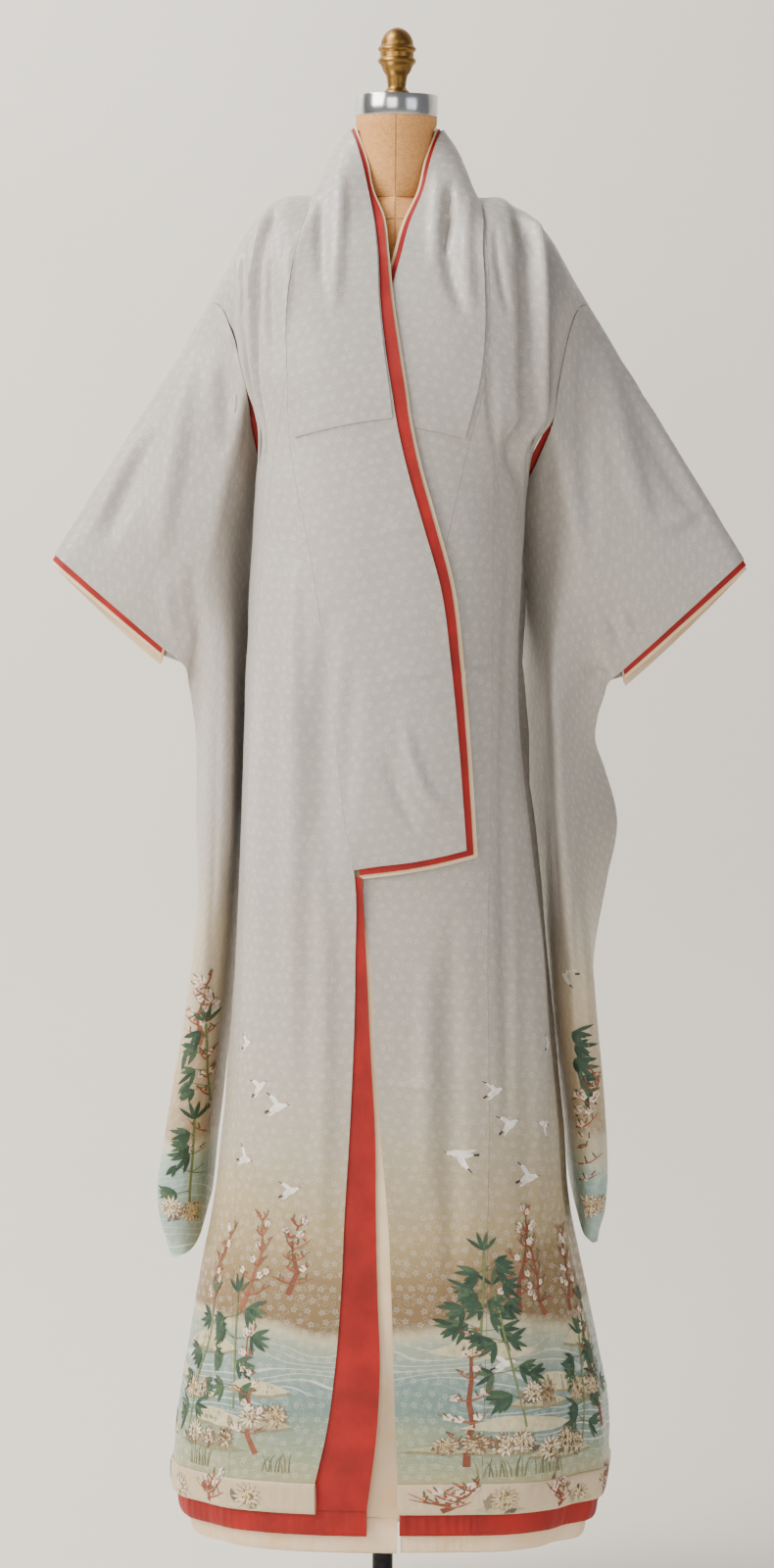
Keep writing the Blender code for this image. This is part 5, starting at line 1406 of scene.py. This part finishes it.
class Painting:
    """Strokes of colour drawn flat around a place, and then laid on the cloth."""

    def __init__(self, name, pieces):
        self.name = name
        self.cloth = tree_of(pieces)
        self.points = []
        self.faces = []
        self.colours = []
        self.ray = None
        self.lift = 0.0

    def on_body(self, angle, z):
        """Draws around a place on the body, by its angle and height."""
        radius = 0.21

        def ray(s, t):
            a = angle + math.degrees(s / radius)
            a = (a + 180) % 360 - 180
            level = level_of(z + t)
            far, near = skin(a, level, 0.05), skin(a, level, 0.0)
            return far, (near - far).normalized()
        self.ray = ray

    def on_sleeve(self, x, z, toward):
        """Draws around a place on a sleeve, seen from the front or the back."""
        def ray(s, t):
            return Vector((x + s, toward * 0.4, z + t)), Vector((0, -toward, 0))
        self.ray = ray

    def lay(self, flat_points, flat_faces, shade):
        placed = []
        for s, t in flat_points:
            start, way = self.ray(s, t)
            hit, normal = self.cloth.ray_cast(start, way, 0.6)[:2]
            if hit is None or (normal.dot(way) > -0.25):
                return
            placed.append(hit + normal * (0.00035 + self.lift))
        for face in flat_faces:
            for a, b in zip(face, face[1:] + face[:1]):
                if (placed[a] - placed[b]).length > 0.02:
                    return
        shift = len(self.points)
        self.points += placed
        self.faces += [[shift + i for i in face] for face in flat_faces]
        self.colours += [colour(shade)] * len(placed)
        self.lift = min(self.lift + 0.00003, 0.0006)

    def ribbon(self, path, widths, shade):
        """A stroke along a path, its half widths given at even steps."""
        path = [Vector(p) for p in path]
        lengths = [0.0]
        for a, b in zip(path, path[1:]):
            lengths.append(lengths[-1] + (b - a).length)
        count = max(int(lengths[-1] / 0.005), 3)
        points, faces = [], []
        for i in range(count + 1):
            at = lengths[-1] * i / count
            k = max(j for j in range(len(path) - 1) if lengths[j] <= at + 1e-9)
            t = (at - lengths[k]) / (lengths[k + 1] - lengths[k])
            spot = path[k].lerp(path[k + 1], t)
            before, after = path[max(k - 1, 0)], path[min(k + 2, len(path) - 1)]
            way = ((path[k + 1] - before).lerp(after - path[k], t)).normalized()
            side = Vector((-way.y, way.x))
            w = float(np.interp(i / count, np.linspace(0, 1, len(widths)), widths))
            points += [spot + side * w, spot, spot - side * w]
            if i:
                n = 3 * i
                faces += [[n - 3, n - 2, n + 1, n], [n - 2, n - 1, n + 2, n + 1]]
        self.lay([tuple(p) for p in points], faces, shade)

    def disc(self, x, y, radius, shade, lobes=0):
        points, faces = [(x, y)], []
        count = 15 if lobes else 10
        for i in range(count):
            a = 2 * math.pi * i / count
            r = radius * (1 + 0.16 * math.cos(lobes * a)) if lobes else radius
            points.append((x + r * math.cos(a), y + r * math.sin(a)))
            faces.append([0, 1 + i, 1 + (i + 1) % count])
        self.lay(points, faces, shade)

    def leaf(self, x, y, length, width, degrees, shade):
        a = math.radians(degrees)
        path = [(x, y), (x + length * math.cos(a), y + length * math.sin(a))]
        self.ribbon(path, [0.0, width * 0.42, width / 2, width * 0.36, 0.0], shade)

    def finish(self, material, slot):
        mesh = bpy.data.meshes.new(self.name)
        mesh.from_pydata([tuple(p) for p in self.points], [], self.faces)
        dye = mesh.color_attributes.new(name="dye", type="FLOAT_COLOR", domain="POINT")
        dye.data.foreach_set("color", [value for shade in self.colours for value in shade])
        mesh.shade_smooth()
        piece = keep_straight(bpy.data.objects.new(self.name, mesh), material)
        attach(piece, "root")
        return piece


GREENS = ["#2F4A38", "#37523C", "#28402F", "#465C40"]
BARKS = ["#8A4B32", "#7B432D", "#955A3E"]
STONES = ["#8A7A68", "#6F6459", "#A39278", "#5C524B"]
CREAMS = ["#D9C7A0", "#E2D3B2", "#CDB88E"]


def plover(art, size, tilt, ink="#3A3532"):
    """A small white bird in flight, 30 mm across, its wing tips dark."""
    def turned(points):
        c, s = math.cos(tilt), math.sin(tilt)
        return [(size * (x * c - y * s), size * (x * s + y * c)) for x, y in points]
    art.ribbon(turned([(-0.012, -0.002), (0.0, 0.0), (0.012, 0.001)]),
               [0.0008 * size, 0.0046 * size, 0.0050 * size, 0.0024 * size], "#EFEAE0")
    art.ribbon(turned([(0.002, 0.002), (-0.003, 0.010), (-0.012, 0.017)]),
               [0.0034 * size, 0.0030 * size, 0.0010 * size], "#F2EEE6")
    art.ribbon(turned([(-0.009, 0.0148), (-0.015, 0.019)]), [0.0013 * size, 0.0004 * size], ink)
    art.ribbon(turned([(0.000, -0.001), (-0.006, -0.006), (-0.014, -0.008)]),
               [0.0026 * size, 0.0022 * size, 0.0006 * size], "#E6E0D4")
    art.ribbon(turned([(-0.012, -0.002), (-0.019, -0.004)]), [0.0012 * size, 0.0016 * size], ink)
    head = turned([(0.014, 0.002)])[0]
    art.disc(*head, 0.0027 * size, "#F2EEE6")
    crown = turned([(0.0148, 0.0036)])[0]
    art.disc(*crown, 0.0011 * size, "#B23A24")
    art.ribbon(turned([(0.016, 0.002), (0.0205, 0.0012)]), [0.0006 * size, 0.0001 * size], ink)


def bamboo(art, height, lean, leaves=3):
    """A bamboo spray: thin jointed stem and drooping clusters of dark leaves."""
    x, y = 0.0, 0.0
    joints = 5
    for j in range(joints):
        nx = x + lean * height / joints + random.uniform(-0.001, 0.001)
        ny = y + height / joints
        art.ribbon([(x, y), (nx, ny - 0.001)], [0.0016, 0.0013, 0.0015], "#6F7A4E")
        if j:
            for k in range(leaves):
                side = -1 if (j + k) % 2 else 1
                reach = random.uniform(0.004, 0.026)
                rise = random.uniform(-0.006, 0.014)
                art.ribbon([(x, y), (x + side * reach, y + rise)], [0.0006, 0.0004], "#5E6A42")
                for fan in (-70, -46, -24, -2, 22):
                    degrees = (fan if side > 0 else 180 - fan) + random.uniform(-9, 9)
                    art.leaf(x + side * reach, y + rise, random.uniform(0.018, 0.032),
                             random.uniform(0.0052, 0.0074), degrees, random.choice(GREENS))
        x, y = nx, ny
    for fan in (40, 75, 105, 140):
        art.leaf(x, y, 0.026, 0.0055, fan, random.choice(GREENS))


def plum(art, height, lean, blooms=2):
    """A plum branch: a crooked red-brown bough with twigs, red buds and pale blossoms."""
    path = [(0.0, 0.0)]
    for k in range(6):
        x, y = path[-1]
        path.append((x + lean * height / 6 + random.uniform(-0.008, 0.008), y + height / 6))
    art.ribbon(path, [0.0036, 0.0030, 0.0022, 0.0012], random.choice(BARKS))
    for k in range(1, 7):
        x, y = path[k]
        for side in (-1, 1):
            reach = random.uniform(0.014, 0.034) * (1.15 - k / 9)
            rise = random.uniform(0.006, 0.022)
            tip = (x + side * reach, y + rise)
            art.ribbon([(x, y), (x + side * reach * 0.5, y + rise * 0.3), tip], [0.0011, 0.0008, 0.0004],
                       random.choice(BARKS))
            for b in range(blooms):
                bx = mix(x, tip[0], 0.35 + 0.3 * b) + random.uniform(-0.002, 0.002)
                by = mix(y, tip[1], 0.35 + 0.3 * b) + random.uniform(0.000, 0.003)
                if random.random() < 0.35:
                    art.disc(bx, by, 0.0046, random.choice(["#E8D9C4", "#E3C9B4"]), lobes=5)
                    art.disc(bx, by, 0.0011, "#B5522F")
                else:
                    art.disc(bx, by, 0.0015, "#A83A22")
                art.leaf(bx, by, 0.008, 0.0022, random.uniform(20, 160), "#5A6145")


def chrysanthemum(art, radius, shade, heart):
    """A chrysanthemum head: two rings of narrow petals with their dark underside."""
    for ring, count, reach in ((0, 14, 1.0), (1, 11, 0.68)):
        for k in range(count):
            degrees = 360 * k / count + ring * 13
            art.leaf(0.0, 0.0, radius * reach * 1.04, radius * 0.30, degrees, heart)
        for k in range(count):
            degrees = 360 * k / count + ring * 13
            art.leaf(0.0, 0.0, radius * reach, radius * 0.25, degrees, shade)
    art.disc(0.0, 0.0, radius * 0.14, "#A8873F")


def bank(art, width, height, shade="#C9C09B", edge="#8F8967"):
    """A low bank of sand or mist with a darker foot."""
    for drop, share, tone in ((0.0035, 1.0, edge), (0.0, 0.97, shade)):
        end = width / 2 * share
        path = [(-end, -drop), (-width / 6, height * 0.25 - drop),
                (width / 7, height * 0.1 - drop), (end, -drop)]
        art.ribbon(path, [0.0, height * 0.42, height * 0.5, height * 0.36, 0.0], tone)


def flower_bed(art, width, heads):
    """A low bank: chrysanthemum heads among grey-brown leaves."""
    bank(art, width * 1.5, 0.016, random.choice(["#CFC39B", "#B9B08A", "#C6BD9C"]), "#8A8463")
    for k in range(int(width / 0.009)):
        x = -width / 2 + 0.009 * k + random.uniform(-0.003, 0.003)
        art.leaf(x, random.uniform(-0.010, 0.004), random.uniform(0.014, 0.026),
                 random.uniform(0.006, 0.010), random.uniform(15, 165), random.choice(STONES))
    ray = art.ray
    for k in range(heads):
        x = -width / 2 + width * (k + 0.5) / heads + random.uniform(-0.004, 0.004)
        y = random.uniform(0.004, 0.018)
        radius = random.uniform(0.013, 0.019)
        art.ray = lambda s, t, x=x, y=y: ray(s + x, t + y)
        chrysanthemum(art, radius, random.choice(CREAMS), "#7C6247")
    art.ray = ray


def reeds(art, height, count):
    for k in range(count):
        x = (k - count / 2) * 0.0036 + random.uniform(-0.001, 0.001)
        bend = random.uniform(-0.010, 0.010)
        tall = height * random.uniform(0.6, 1.0)
        art.ribbon([(x, 0.0), (x + bend * 0.3, tall * 0.6), (x + bend, tall)], [0.0007, 0.0006, 0.0001],
                   random.choice(["#6B6F4A", "#7F7450", "#5C6343"]))


dye = hand_dye("hand_painted_dye")
art = Painting("painted_design_on_body", body_panels)
Motif = namedtuple("Motif", "kind angle z size lean")
MOTIFS = [
    # pale banks in the water and the mist, behind all else
    Motif("bank", -58, 0.395, 0.120, 0.026), Motif("bank", -33, 0.345, 0.090, 0.020),
    Motif("bank", 24, 0.398, 0.130, 0.026), Motif("bank", 50, 0.350, 0.120, 0.024),
    Motif("bank", 34, 0.300, 0.150, 0.022), Motif("bank", -48, 0.300, 0.120, 0.022),
    Motif("bank", 70, 0.402, 0.110, 0.024), Motif("bank", -118, 0.392, 0.150, 0.026),
    Motif("bank", -150, 0.340, 0.140, 0.022), Motif("bank", 150, 0.392, 0.150, 0.026),
    Motif("bank", 120, 0.345, 0.140, 0.022), Motif("bank", -84, 0.350, 0.120, 0.022),
    # the front, left of the opening
    Motif("bamboo", -41, 0.318, 0.150, -0.10), Motif("bed", -63, 0.330, 0.060, 2),
    Motif("plum", -62, 0.430, 0.110, 0.10), Motif("reeds", -56, 0.236, 0.034, 12),
    Motif("plum", -25, 0.470, 0.090, 0.15), Motif("plover", -46, 0.735, 1.0, 0.5),
    Motif("bamboo", -66, 0.262, 0.200, 0.10), Motif("bed", -52, 0.268, 0.090, 3),
    Motif("plum", -31, 0.262, 0.150, -0.22), Motif("bed", -30, 0.300, 0.050, 2),
    Motif("plum", -44, 0.445, 0.120, 0.25), Motif("reeds", -24, 0.240, 0.030, 9),
    Motif("plover", -36, 0.712, 1.15, 0.15), Motif("plover", -52, 0.640, 1.0, -0.1),
    Motif("plover", -28, 0.604, 0.9, 0.3), Motif("plover", -57, 0.790, 0.85, 0.25),
    # the front, right of the opening
    Motif("bamboo", 21, 0.400, 0.130, 0.12), Motif("bed", 40, 0.330, 0.060, 2),
    Motif("plum", 36, 0.450, 0.120, 0.18), Motif("bed", 64, 0.330, 0.060, 2),
    Motif("reeds", 26, 0.236, 0.034, 14), Motif("plum", 64, 0.440, 0.100, 0.2),
    Motif("bamboo", 78, 0.300, 0.150, -0.1), Motif("plover", 39, 0.690, 1.05, 0.35),
    Motif("plum", 16, 0.250, 0.170, 0.12), Motif("bed", 22, 0.272, 0.100, 4),
    Motif("bamboo", 33, 0.300, 0.185, -0.12), Motif("bed", 49, 0.262, 0.080, 3),
    Motif("bamboo", 60, 0.268, 0.140, 0.16), Motif("plum", 72, 0.285, 0.150, -0.1),
    Motif("reeds", 42, 0.238, 0.034, 12), Motif("plum", 50, 0.440, 0.105, -0.2),
    Motif("plover", 20, 0.655, 1.1, 2.9), Motif("plover", 33, 0.735, 0.95, 0.2),
    Motif("plover", 47, 0.620, 1.2, 0.0), Motif("plover", 58, 0.688, 0.9, 2.8),
    Motif("plover", 28, 0.382, 0.9, 0.2), Motif("plover", 67, 0.790, 0.9, 0.1),
    # around the sides and the back
    Motif("bed", -92, 0.270, 0.090, 3), Motif("plum", -100, 0.258, 0.160, 0.10),
    Motif("bamboo", -124, 0.262, 0.200, -0.08), Motif("bed", -140, 0.268, 0.100, 4),
    Motif("plum", -156, 0.262, 0.190, 0.14), Motif("reeds", -112, 0.240, 0.032, 11),
    Motif("plover", -118, 0.660, 1.1, 0.2), Motif("plover", -142, 0.720, 1.0, 2.9),
    Motif("plover", -160, 0.610, 1.1, 0.1), Motif("bamboo", 174, 0.272, 0.180, 0.10),
    Motif("bed", 168, 0.262, 0.110, 4), Motif("plum", 146, 0.260, 0.170, -0.12),
    Motif("bamboo", 126, 0.270, 0.205, 0.08), Motif("bed", 110, 0.266, 0.090, 3),
    Motif("reeds", 136, 0.240, 0.034, 12), Motif("plum", 98, 0.262, 0.150, 0.15),
    Motif("plover", 160, 0.700, 1.1, 0.1), Motif("plover", 138, 0.640, 0.95, 2.8),
    Motif("plover", 116, 0.720, 1.05, 0.2), Motif("plover", 176, 0.600, 0.9, 0.3),
]


FIGURES = {"bamboo": bamboo, "plum": plum, "bed": flower_bed, "bank": bank, "reeds": reeds, "plover": plover}


def paint(art, motif):
    art.lift = 0.0
    FIGURES[motif.kind](art, motif.size, motif.lean)


for motif in MOTIFS:
    art.on_body(motif.angle, motif.z)
    paint(art, motif)
for k, angle in enumerate(list(range(-170, -26, 17)) + list(range(12, 175, 16))):
    art.on_body(angle + random.uniform(-3, 3), 0.193)
    if k % 2:
        paint(art, Motif("plum", 0, 0, 0.026, 0.3))
    else:
        paint(art, Motif("bed", 0, 0, 0.036, 1))
art.finish(dye, "silver_silk")

SleeveMotif = namedtuple("SleeveMotif", "side x z toward kind size lean")
SLEEVE_MOTIFS = [
    SleeveMotif("left", -0.262, 0.640, -1, "bank", 0.060, 0.020),
    SleeveMotif("left", -0.268, 0.575, -1, "bank", 0.055, 0.016),
    SleeveMotif("right", 0.268, 0.630, -1, "bank", 0.050, 0.018),
    SleeveMotif("left", -0.236, 0.700, -1, "bamboo", 0.110, -0.04),
    SleeveMotif("right", 0.246, 0.640, -1, "plum", 0.100, 0.05),
    SleeveMotif("left", -0.262, 0.560, -1, "bamboo", 0.120, 0.06),
    SleeveMotif("left", -0.240, 0.610, -1, "plum", 0.150, 0.05),
    SleeveMotif("left", -0.272, 0.548, -1, "bed", 0.040, 2),
    SleeveMotif("left", -0.226, 0.830, -1, "plover", 0.9, 0.3),
    SleeveMotif("left", -0.250, 0.780, -1, "plum", 0.080, 0.1),
    SleeveMotif("right", 0.262, 0.580, -1, "plum", 0.130, -0.08),
    SleeveMotif("right", 0.276, 0.556, -1, "bed", 0.036, 2),
    SleeveMotif("right", 0.240, 0.700, -1, "bamboo", 0.110, -0.05),
    SleeveMotif("right", 0.236, 0.880, -1, "plover", 0.9, 2.9),
    SleeveMotif("left", -0.290, 0.620, 1, "bamboo", 0.130, 0.06),
    SleeveMotif("left", -0.262, 0.700, 1, "plum", 0.130, 0.05),
    SleeveMotif("right", 0.284, 0.620, 1, "plum", 0.150, -0.05),
    SleeveMotif("right", 0.262, 0.760, 1, "bamboo", 0.110, -0.04),
]
for side in ("left", "right"):
    art = Painting("painted_design_on_sleeve_" + side, [sleeve_panels[side]])
    for motif in SLEEVE_MOTIFS:
        if motif.side == side:
            art.on_sleeve(motif.x, motif.z, motif.toward)
            paint(art, motif)
    art.finish(dye, "silver_silk")


# The dress form: a padded torso covered in tan linen, a chrome neck ring with a turned and painted
# finial, and a dark steel pole on a plain round base.
Torso = namedtuple("Torso", "z half front back round")
TORSO = [
    Torso(1.120, 0.148, 0.104, 0.108, 2.3),
    Torso(1.135, 0.156, 0.110, 0.114, 2.3),
    Torso(1.200, 0.155, 0.108, 0.112, 2.3),
    Torso(1.300, 0.138, 0.098, 0.098, 2.2),
    Torso(1.400, 0.119, 0.090, 0.086, 2.2),
    Torso(1.480, 0.122, 0.096, 0.086, 2.2),
    Torso(1.570, 0.136, 0.114, 0.092, 2.2),
    Torso(1.660, 0.150, 0.121, 0.097, 2.2),
    Torso(1.740, 0.163, 0.108, 0.096, 2.2),
    Torso(1.800, 0.166, 0.087, 0.078, 2.1),
    Torso(1.845, 0.158, 0.067, 0.058, 2.0),
    Torso(1.875, 0.143, 0.052, 0.041, 1.7),
    Torso(1.8970, 0.128, 0.0460, 0.0400, 0.9),
    Torso(1.8994, 0.120, 0.0440, 0.0380, 0.8),
    Torso(1.8996, 0.086, 0.0438, 0.0380, 1.0),
    Torso(1.9120, 0.066, 0.0435, 0.0420, 1.6),
    Torso(1.9350, 0.052, 0.046, 0.046, 1.9),
    Torso(1.9860, 0.0485, 0.0485, 0.0485, 2.0),
    Torso(1.9945, 0.0532, 0.0532, 0.0532, 2.0),
    Torso(2.0052, 0.0535, 0.0535, 0.0535, 2.0),
]
NECK_SEAM = 1.869


def linen_cloth():
    """Stretched linen: a plain weave with slubs, its seams pulled in and a little darker."""
    material, tree, shader = new_material("tan_linen_cover")
    place = add(tree, "TexCoord")
    spot = add(tree, "SeparateXYZ", {0: place.outputs["Object"]})
    slub_x = add(tree, "Mapping", {0: place.outputs["Object"], 3: (1100.0, 1100.0, 160.0)})
    slub_z = add(tree, "Mapping", {0: place.outputs["Object"], 3: (160.0, 160.0, 1100.0)})
    warp = add(tree, "TexNoise", {"Vector": slub_x, "Scale": 1.0, "Detail": 2.0})
    weft = add(tree, "TexNoise", {"Vector": slub_z, "Scale": 1.0, "Detail": 2.0})
    weave = add(tree, "Math", {0: warp, 1: weft}, operation="ADD")
    spread = add(tree, "MapRange", {0: weave, 1: 0.7, 2: 1.3})
    cloth = add(tree, "Mix", {0: spread, 6: colour("#CC8A48"), 7: colour("#EBB270")}, data_type="RGBA")
    off_middle = add(tree, "Math", {0: spot}, operation="ABSOLUTE")
    middle_seam = add(tree, "MapRange", {0: off_middle, 1: 0.0005, 2: 0.0014, 3: 1.0, 4: 0.0})
    off_line = add(tree, "Math", {0: spot.outputs[2], 1: NECK_SEAM}, operation="SUBTRACT")
    off_line = add(tree, "Math", {0: off_line}, operation="ABSOLUTE")
    neck_seam = add(tree, "MapRange", {0: off_line, 1: 0.0005, 2: 0.0014, 3: 1.0, 4: 0.0})
    seam = add(tree, "Math", {0: middle_seam, 1: neck_seam}, operation="MAXIMUM")
    darker = add(tree, "Math", {0: seam, 1: 0.45}, operation="MULTIPLY")
    sewn = add(tree, "Mix", {0: darker, 6: cloth.outputs[2], 7: colour("#6B4B2C")}, data_type="RGBA")
    tree.links.new(sewn.outputs[2], shader.inputs["Base Color"])
    relief = add(tree, "Math", {0: seam, 1: -3.0, 2: weave}, operation="MULTIPLY_ADD")
    bump = add(tree, "Bump", {"Strength": 0.6, "Distance": 0.0004, "Height": relief})
    tree.links.new(bump.outputs[0], shader.inputs["Normal"])
    shader.inputs["Roughness"].default_value = 0.85
    return material


def metal(name, shade, deep_shade, roughness, grain):
    """Turned metal or metal paint: fine tool lines around it and a little tarnish."""
    material, tree, shader = new_material(name)
    place = add(tree, "TexCoord")
    lines = add(tree, "Mapping", {0: place.outputs["Object"], 3: (30.0, 30.0, 1800.0)})
    tool = add(tree, "TexNoise", {"Vector": lines, "Scale": 1.0, "Detail": 2.0})
    patch = add(tree, "TexNoise", {"Vector": place.outputs["Object"], "Scale": 90.0, "Detail": 4.0})
    spread = add(tree, "MapRange", {0: patch, 1: 0.35, 2: 0.7})
    tone = add(tree, "Mix", {0: spread, 6: colour(shade), 7: colour(deep_shade)}, data_type="RGBA")
    tree.links.new(tone.outputs[2], shader.inputs["Base Color"])
    rough = add(tree, "MapRange", {0: patch, 3: roughness * 0.75, 4: roughness * 1.3})
    tree.links.new(rough.outputs[0], shader.inputs["Roughness"])
    bump = add(tree, "Bump", {"Strength": grain, "Distance": 0.0002, "Height": tool})
    tree.links.new(bump.outputs[0], shader.inputs["Normal"])
    shader.inputs["Metallic"].default_value = 1.0
    return material


sides = 96
rings = []
for section in TORSO:
    ring = []
    for i in range(sides + 1):
        a = 2 * math.pi * i / sides
        c, s = math.cos(a), math.sin(a)
        power = 2 / section.round
        depth = section.back if s > 0 else section.front
        ring.append((math.copysign(abs(c) ** power, c) * section.half,
                     math.copysign(abs(s) ** power, s) * depth, section.z))
    rings.append(ring)
points = [point for ring in rings for point in ring[:sides]]
faces = [tuple(reversed(range(sides))), tuple(range((len(rings) - 1) * sides, len(rings) * sides))]
for r in range(len(rings) - 1):
    for i in range(sides):
        j = (i + 1) % sides
        faces.append((r * sides + i, r * sides + j, (r + 1) * sides + j, (r + 1) * sides + i))
mesh = bpy.data.meshes.new("linen_torso")
mesh.from_pydata(points, [], faces)
torso = keep_straight(bpy.data.objects.new("linen_torso", mesh), linen_cloth())
bpy.context.view_layer.objects.active = torso
torso.select_set(True)
bpy.ops.object.shade_smooth_by_angle(angle=math.radians(50))
torso.select_set(False)
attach(torso, "root")
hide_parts("form_torso")


def turned_piece(name, profile, material, node, steps=72):
    """A piece turned on a lathe: its profile, from the axis and back to it, spun once around."""
    mesh = bpy.data.meshes.new(name)
    mesh.from_pydata([(r, 0.0, z) for z, r in profile], [(i, i + 1) for i in range(len(profile) - 1)], [])
    piece = keep_straight(bpy.data.objects.new(name, mesh), material)
    bpy.context.view_layer.objects.active = piece
    piece.select_set(True)
    bpy.ops.object.mode_set(mode="EDIT")
    bpy.ops.mesh.select_all(action="SELECT")
    bpy.ops.mesh.spin(steps=steps, angle=2 * math.pi, center=(0, 0, 0), axis=(0, 0, 1))
    bpy.ops.mesh.select_all(action="SELECT")
    bpy.ops.mesh.remove_doubles(threshold=0.00005)
    bpy.ops.mesh.normals_make_consistent(inside=False)
    bpy.ops.object.mode_set(mode="OBJECT")
    bpy.ops.object.shade_smooth_by_angle(angle=math.radians(35))
    piece.select_set(False)
    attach(piece, "root")
    if node:
        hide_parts(node)
    return piece


# Polished chrome keeps the room's light in one bright band, so it stays nearly smooth
chrome = metal("polished_chrome", "#D9DADC", "#C9CACC", 0.18, 0.05)
brass_paint = metal("aged_brass_paint", "#9A7640", "#7A5A2E", 0.38, 0.10)
dark_steel = metal("dark_blued_steel", "#3A3B3E", "#2C2D30", 0.42, 0.15)

RING_RADIUS = 0.0545
turned_piece("chrome_neck_ring",
             [(2.0055, 0.0), (2.0055, RING_RADIUS - 0.0008), (2.0059, RING_RADIUS - 0.0003),
              (2.0065, RING_RADIUS), (2.0322, RING_RADIUS), (2.0330, RING_RADIUS - 0.0004),
              (2.0334, RING_RADIUS - 0.0012), (2.0334, 0.0)], chrome, "form_neck_ring", 96)

Turned = namedtuple("Turned", "z radius")
FINIAL = [
    Turned(2.0337, 0.0165), Turned(2.0375, 0.0171), Turned(2.0405, 0.0145),
    Turned(2.0440, 0.0119), Turned(2.0510, 0.0128), Turned(2.0580, 0.0138),
    Turned(2.0650, 0.0180), Turned(2.0725, 0.0212), Turned(2.0755, 0.0238),
    Turned(2.0785, 0.0252), Turned(2.0815, 0.0238), Turned(2.0838, 0.0220),
    Turned(2.0895, 0.0220), Turned(2.0915, 0.0240), Turned(2.0940, 0.0252),
    Turned(2.0965, 0.0240), Turned(2.0990, 0.0216), Turned(2.1040, 0.0209),
    Turned(2.1100, 0.0186), Turned(2.1160, 0.0141), Turned(2.1200, 0.0085),
    Turned(2.1223, 0.0020),
]
heights = np.linspace(FINIAL[0].z, FINIAL[-1].z, 90)
profile = [(FINIAL[0].z, 0.0)] + [(z, read(FINIAL, "radius", z)) for z in heights] + [(FINIAL[-1].z, 0.0)]
turned_piece("turned_finial", profile, brass_paint, "form_finial")

turned_piece("steel_pole",
             [(0.0463, 0.0), (0.0463, 0.0132), (0.0470, 0.0137), (1.1190, 0.0137), (1.1197, 0.0132),
              (1.1197, 0.0)], dark_steel, "form_pole", 64)
turned_piece("steel_base",
             [(0.0, 0.0), (0.0, 0.1885), (0.0015, 0.19), (0.0100, 0.19), (0.0125, 0.1885), (0.0150, 0.1850),
              (0.0160, 0.1820), (0.0190, 0.1100), (0.0220, 0.0400), (0.0235, 0.0340), (0.0260, 0.0300),
              (0.0430, 0.0260), (0.0450, 0.0248), (0.0460, 0.0230), (0.0460, 0.0)],
             dark_steel, "form_base", 128)
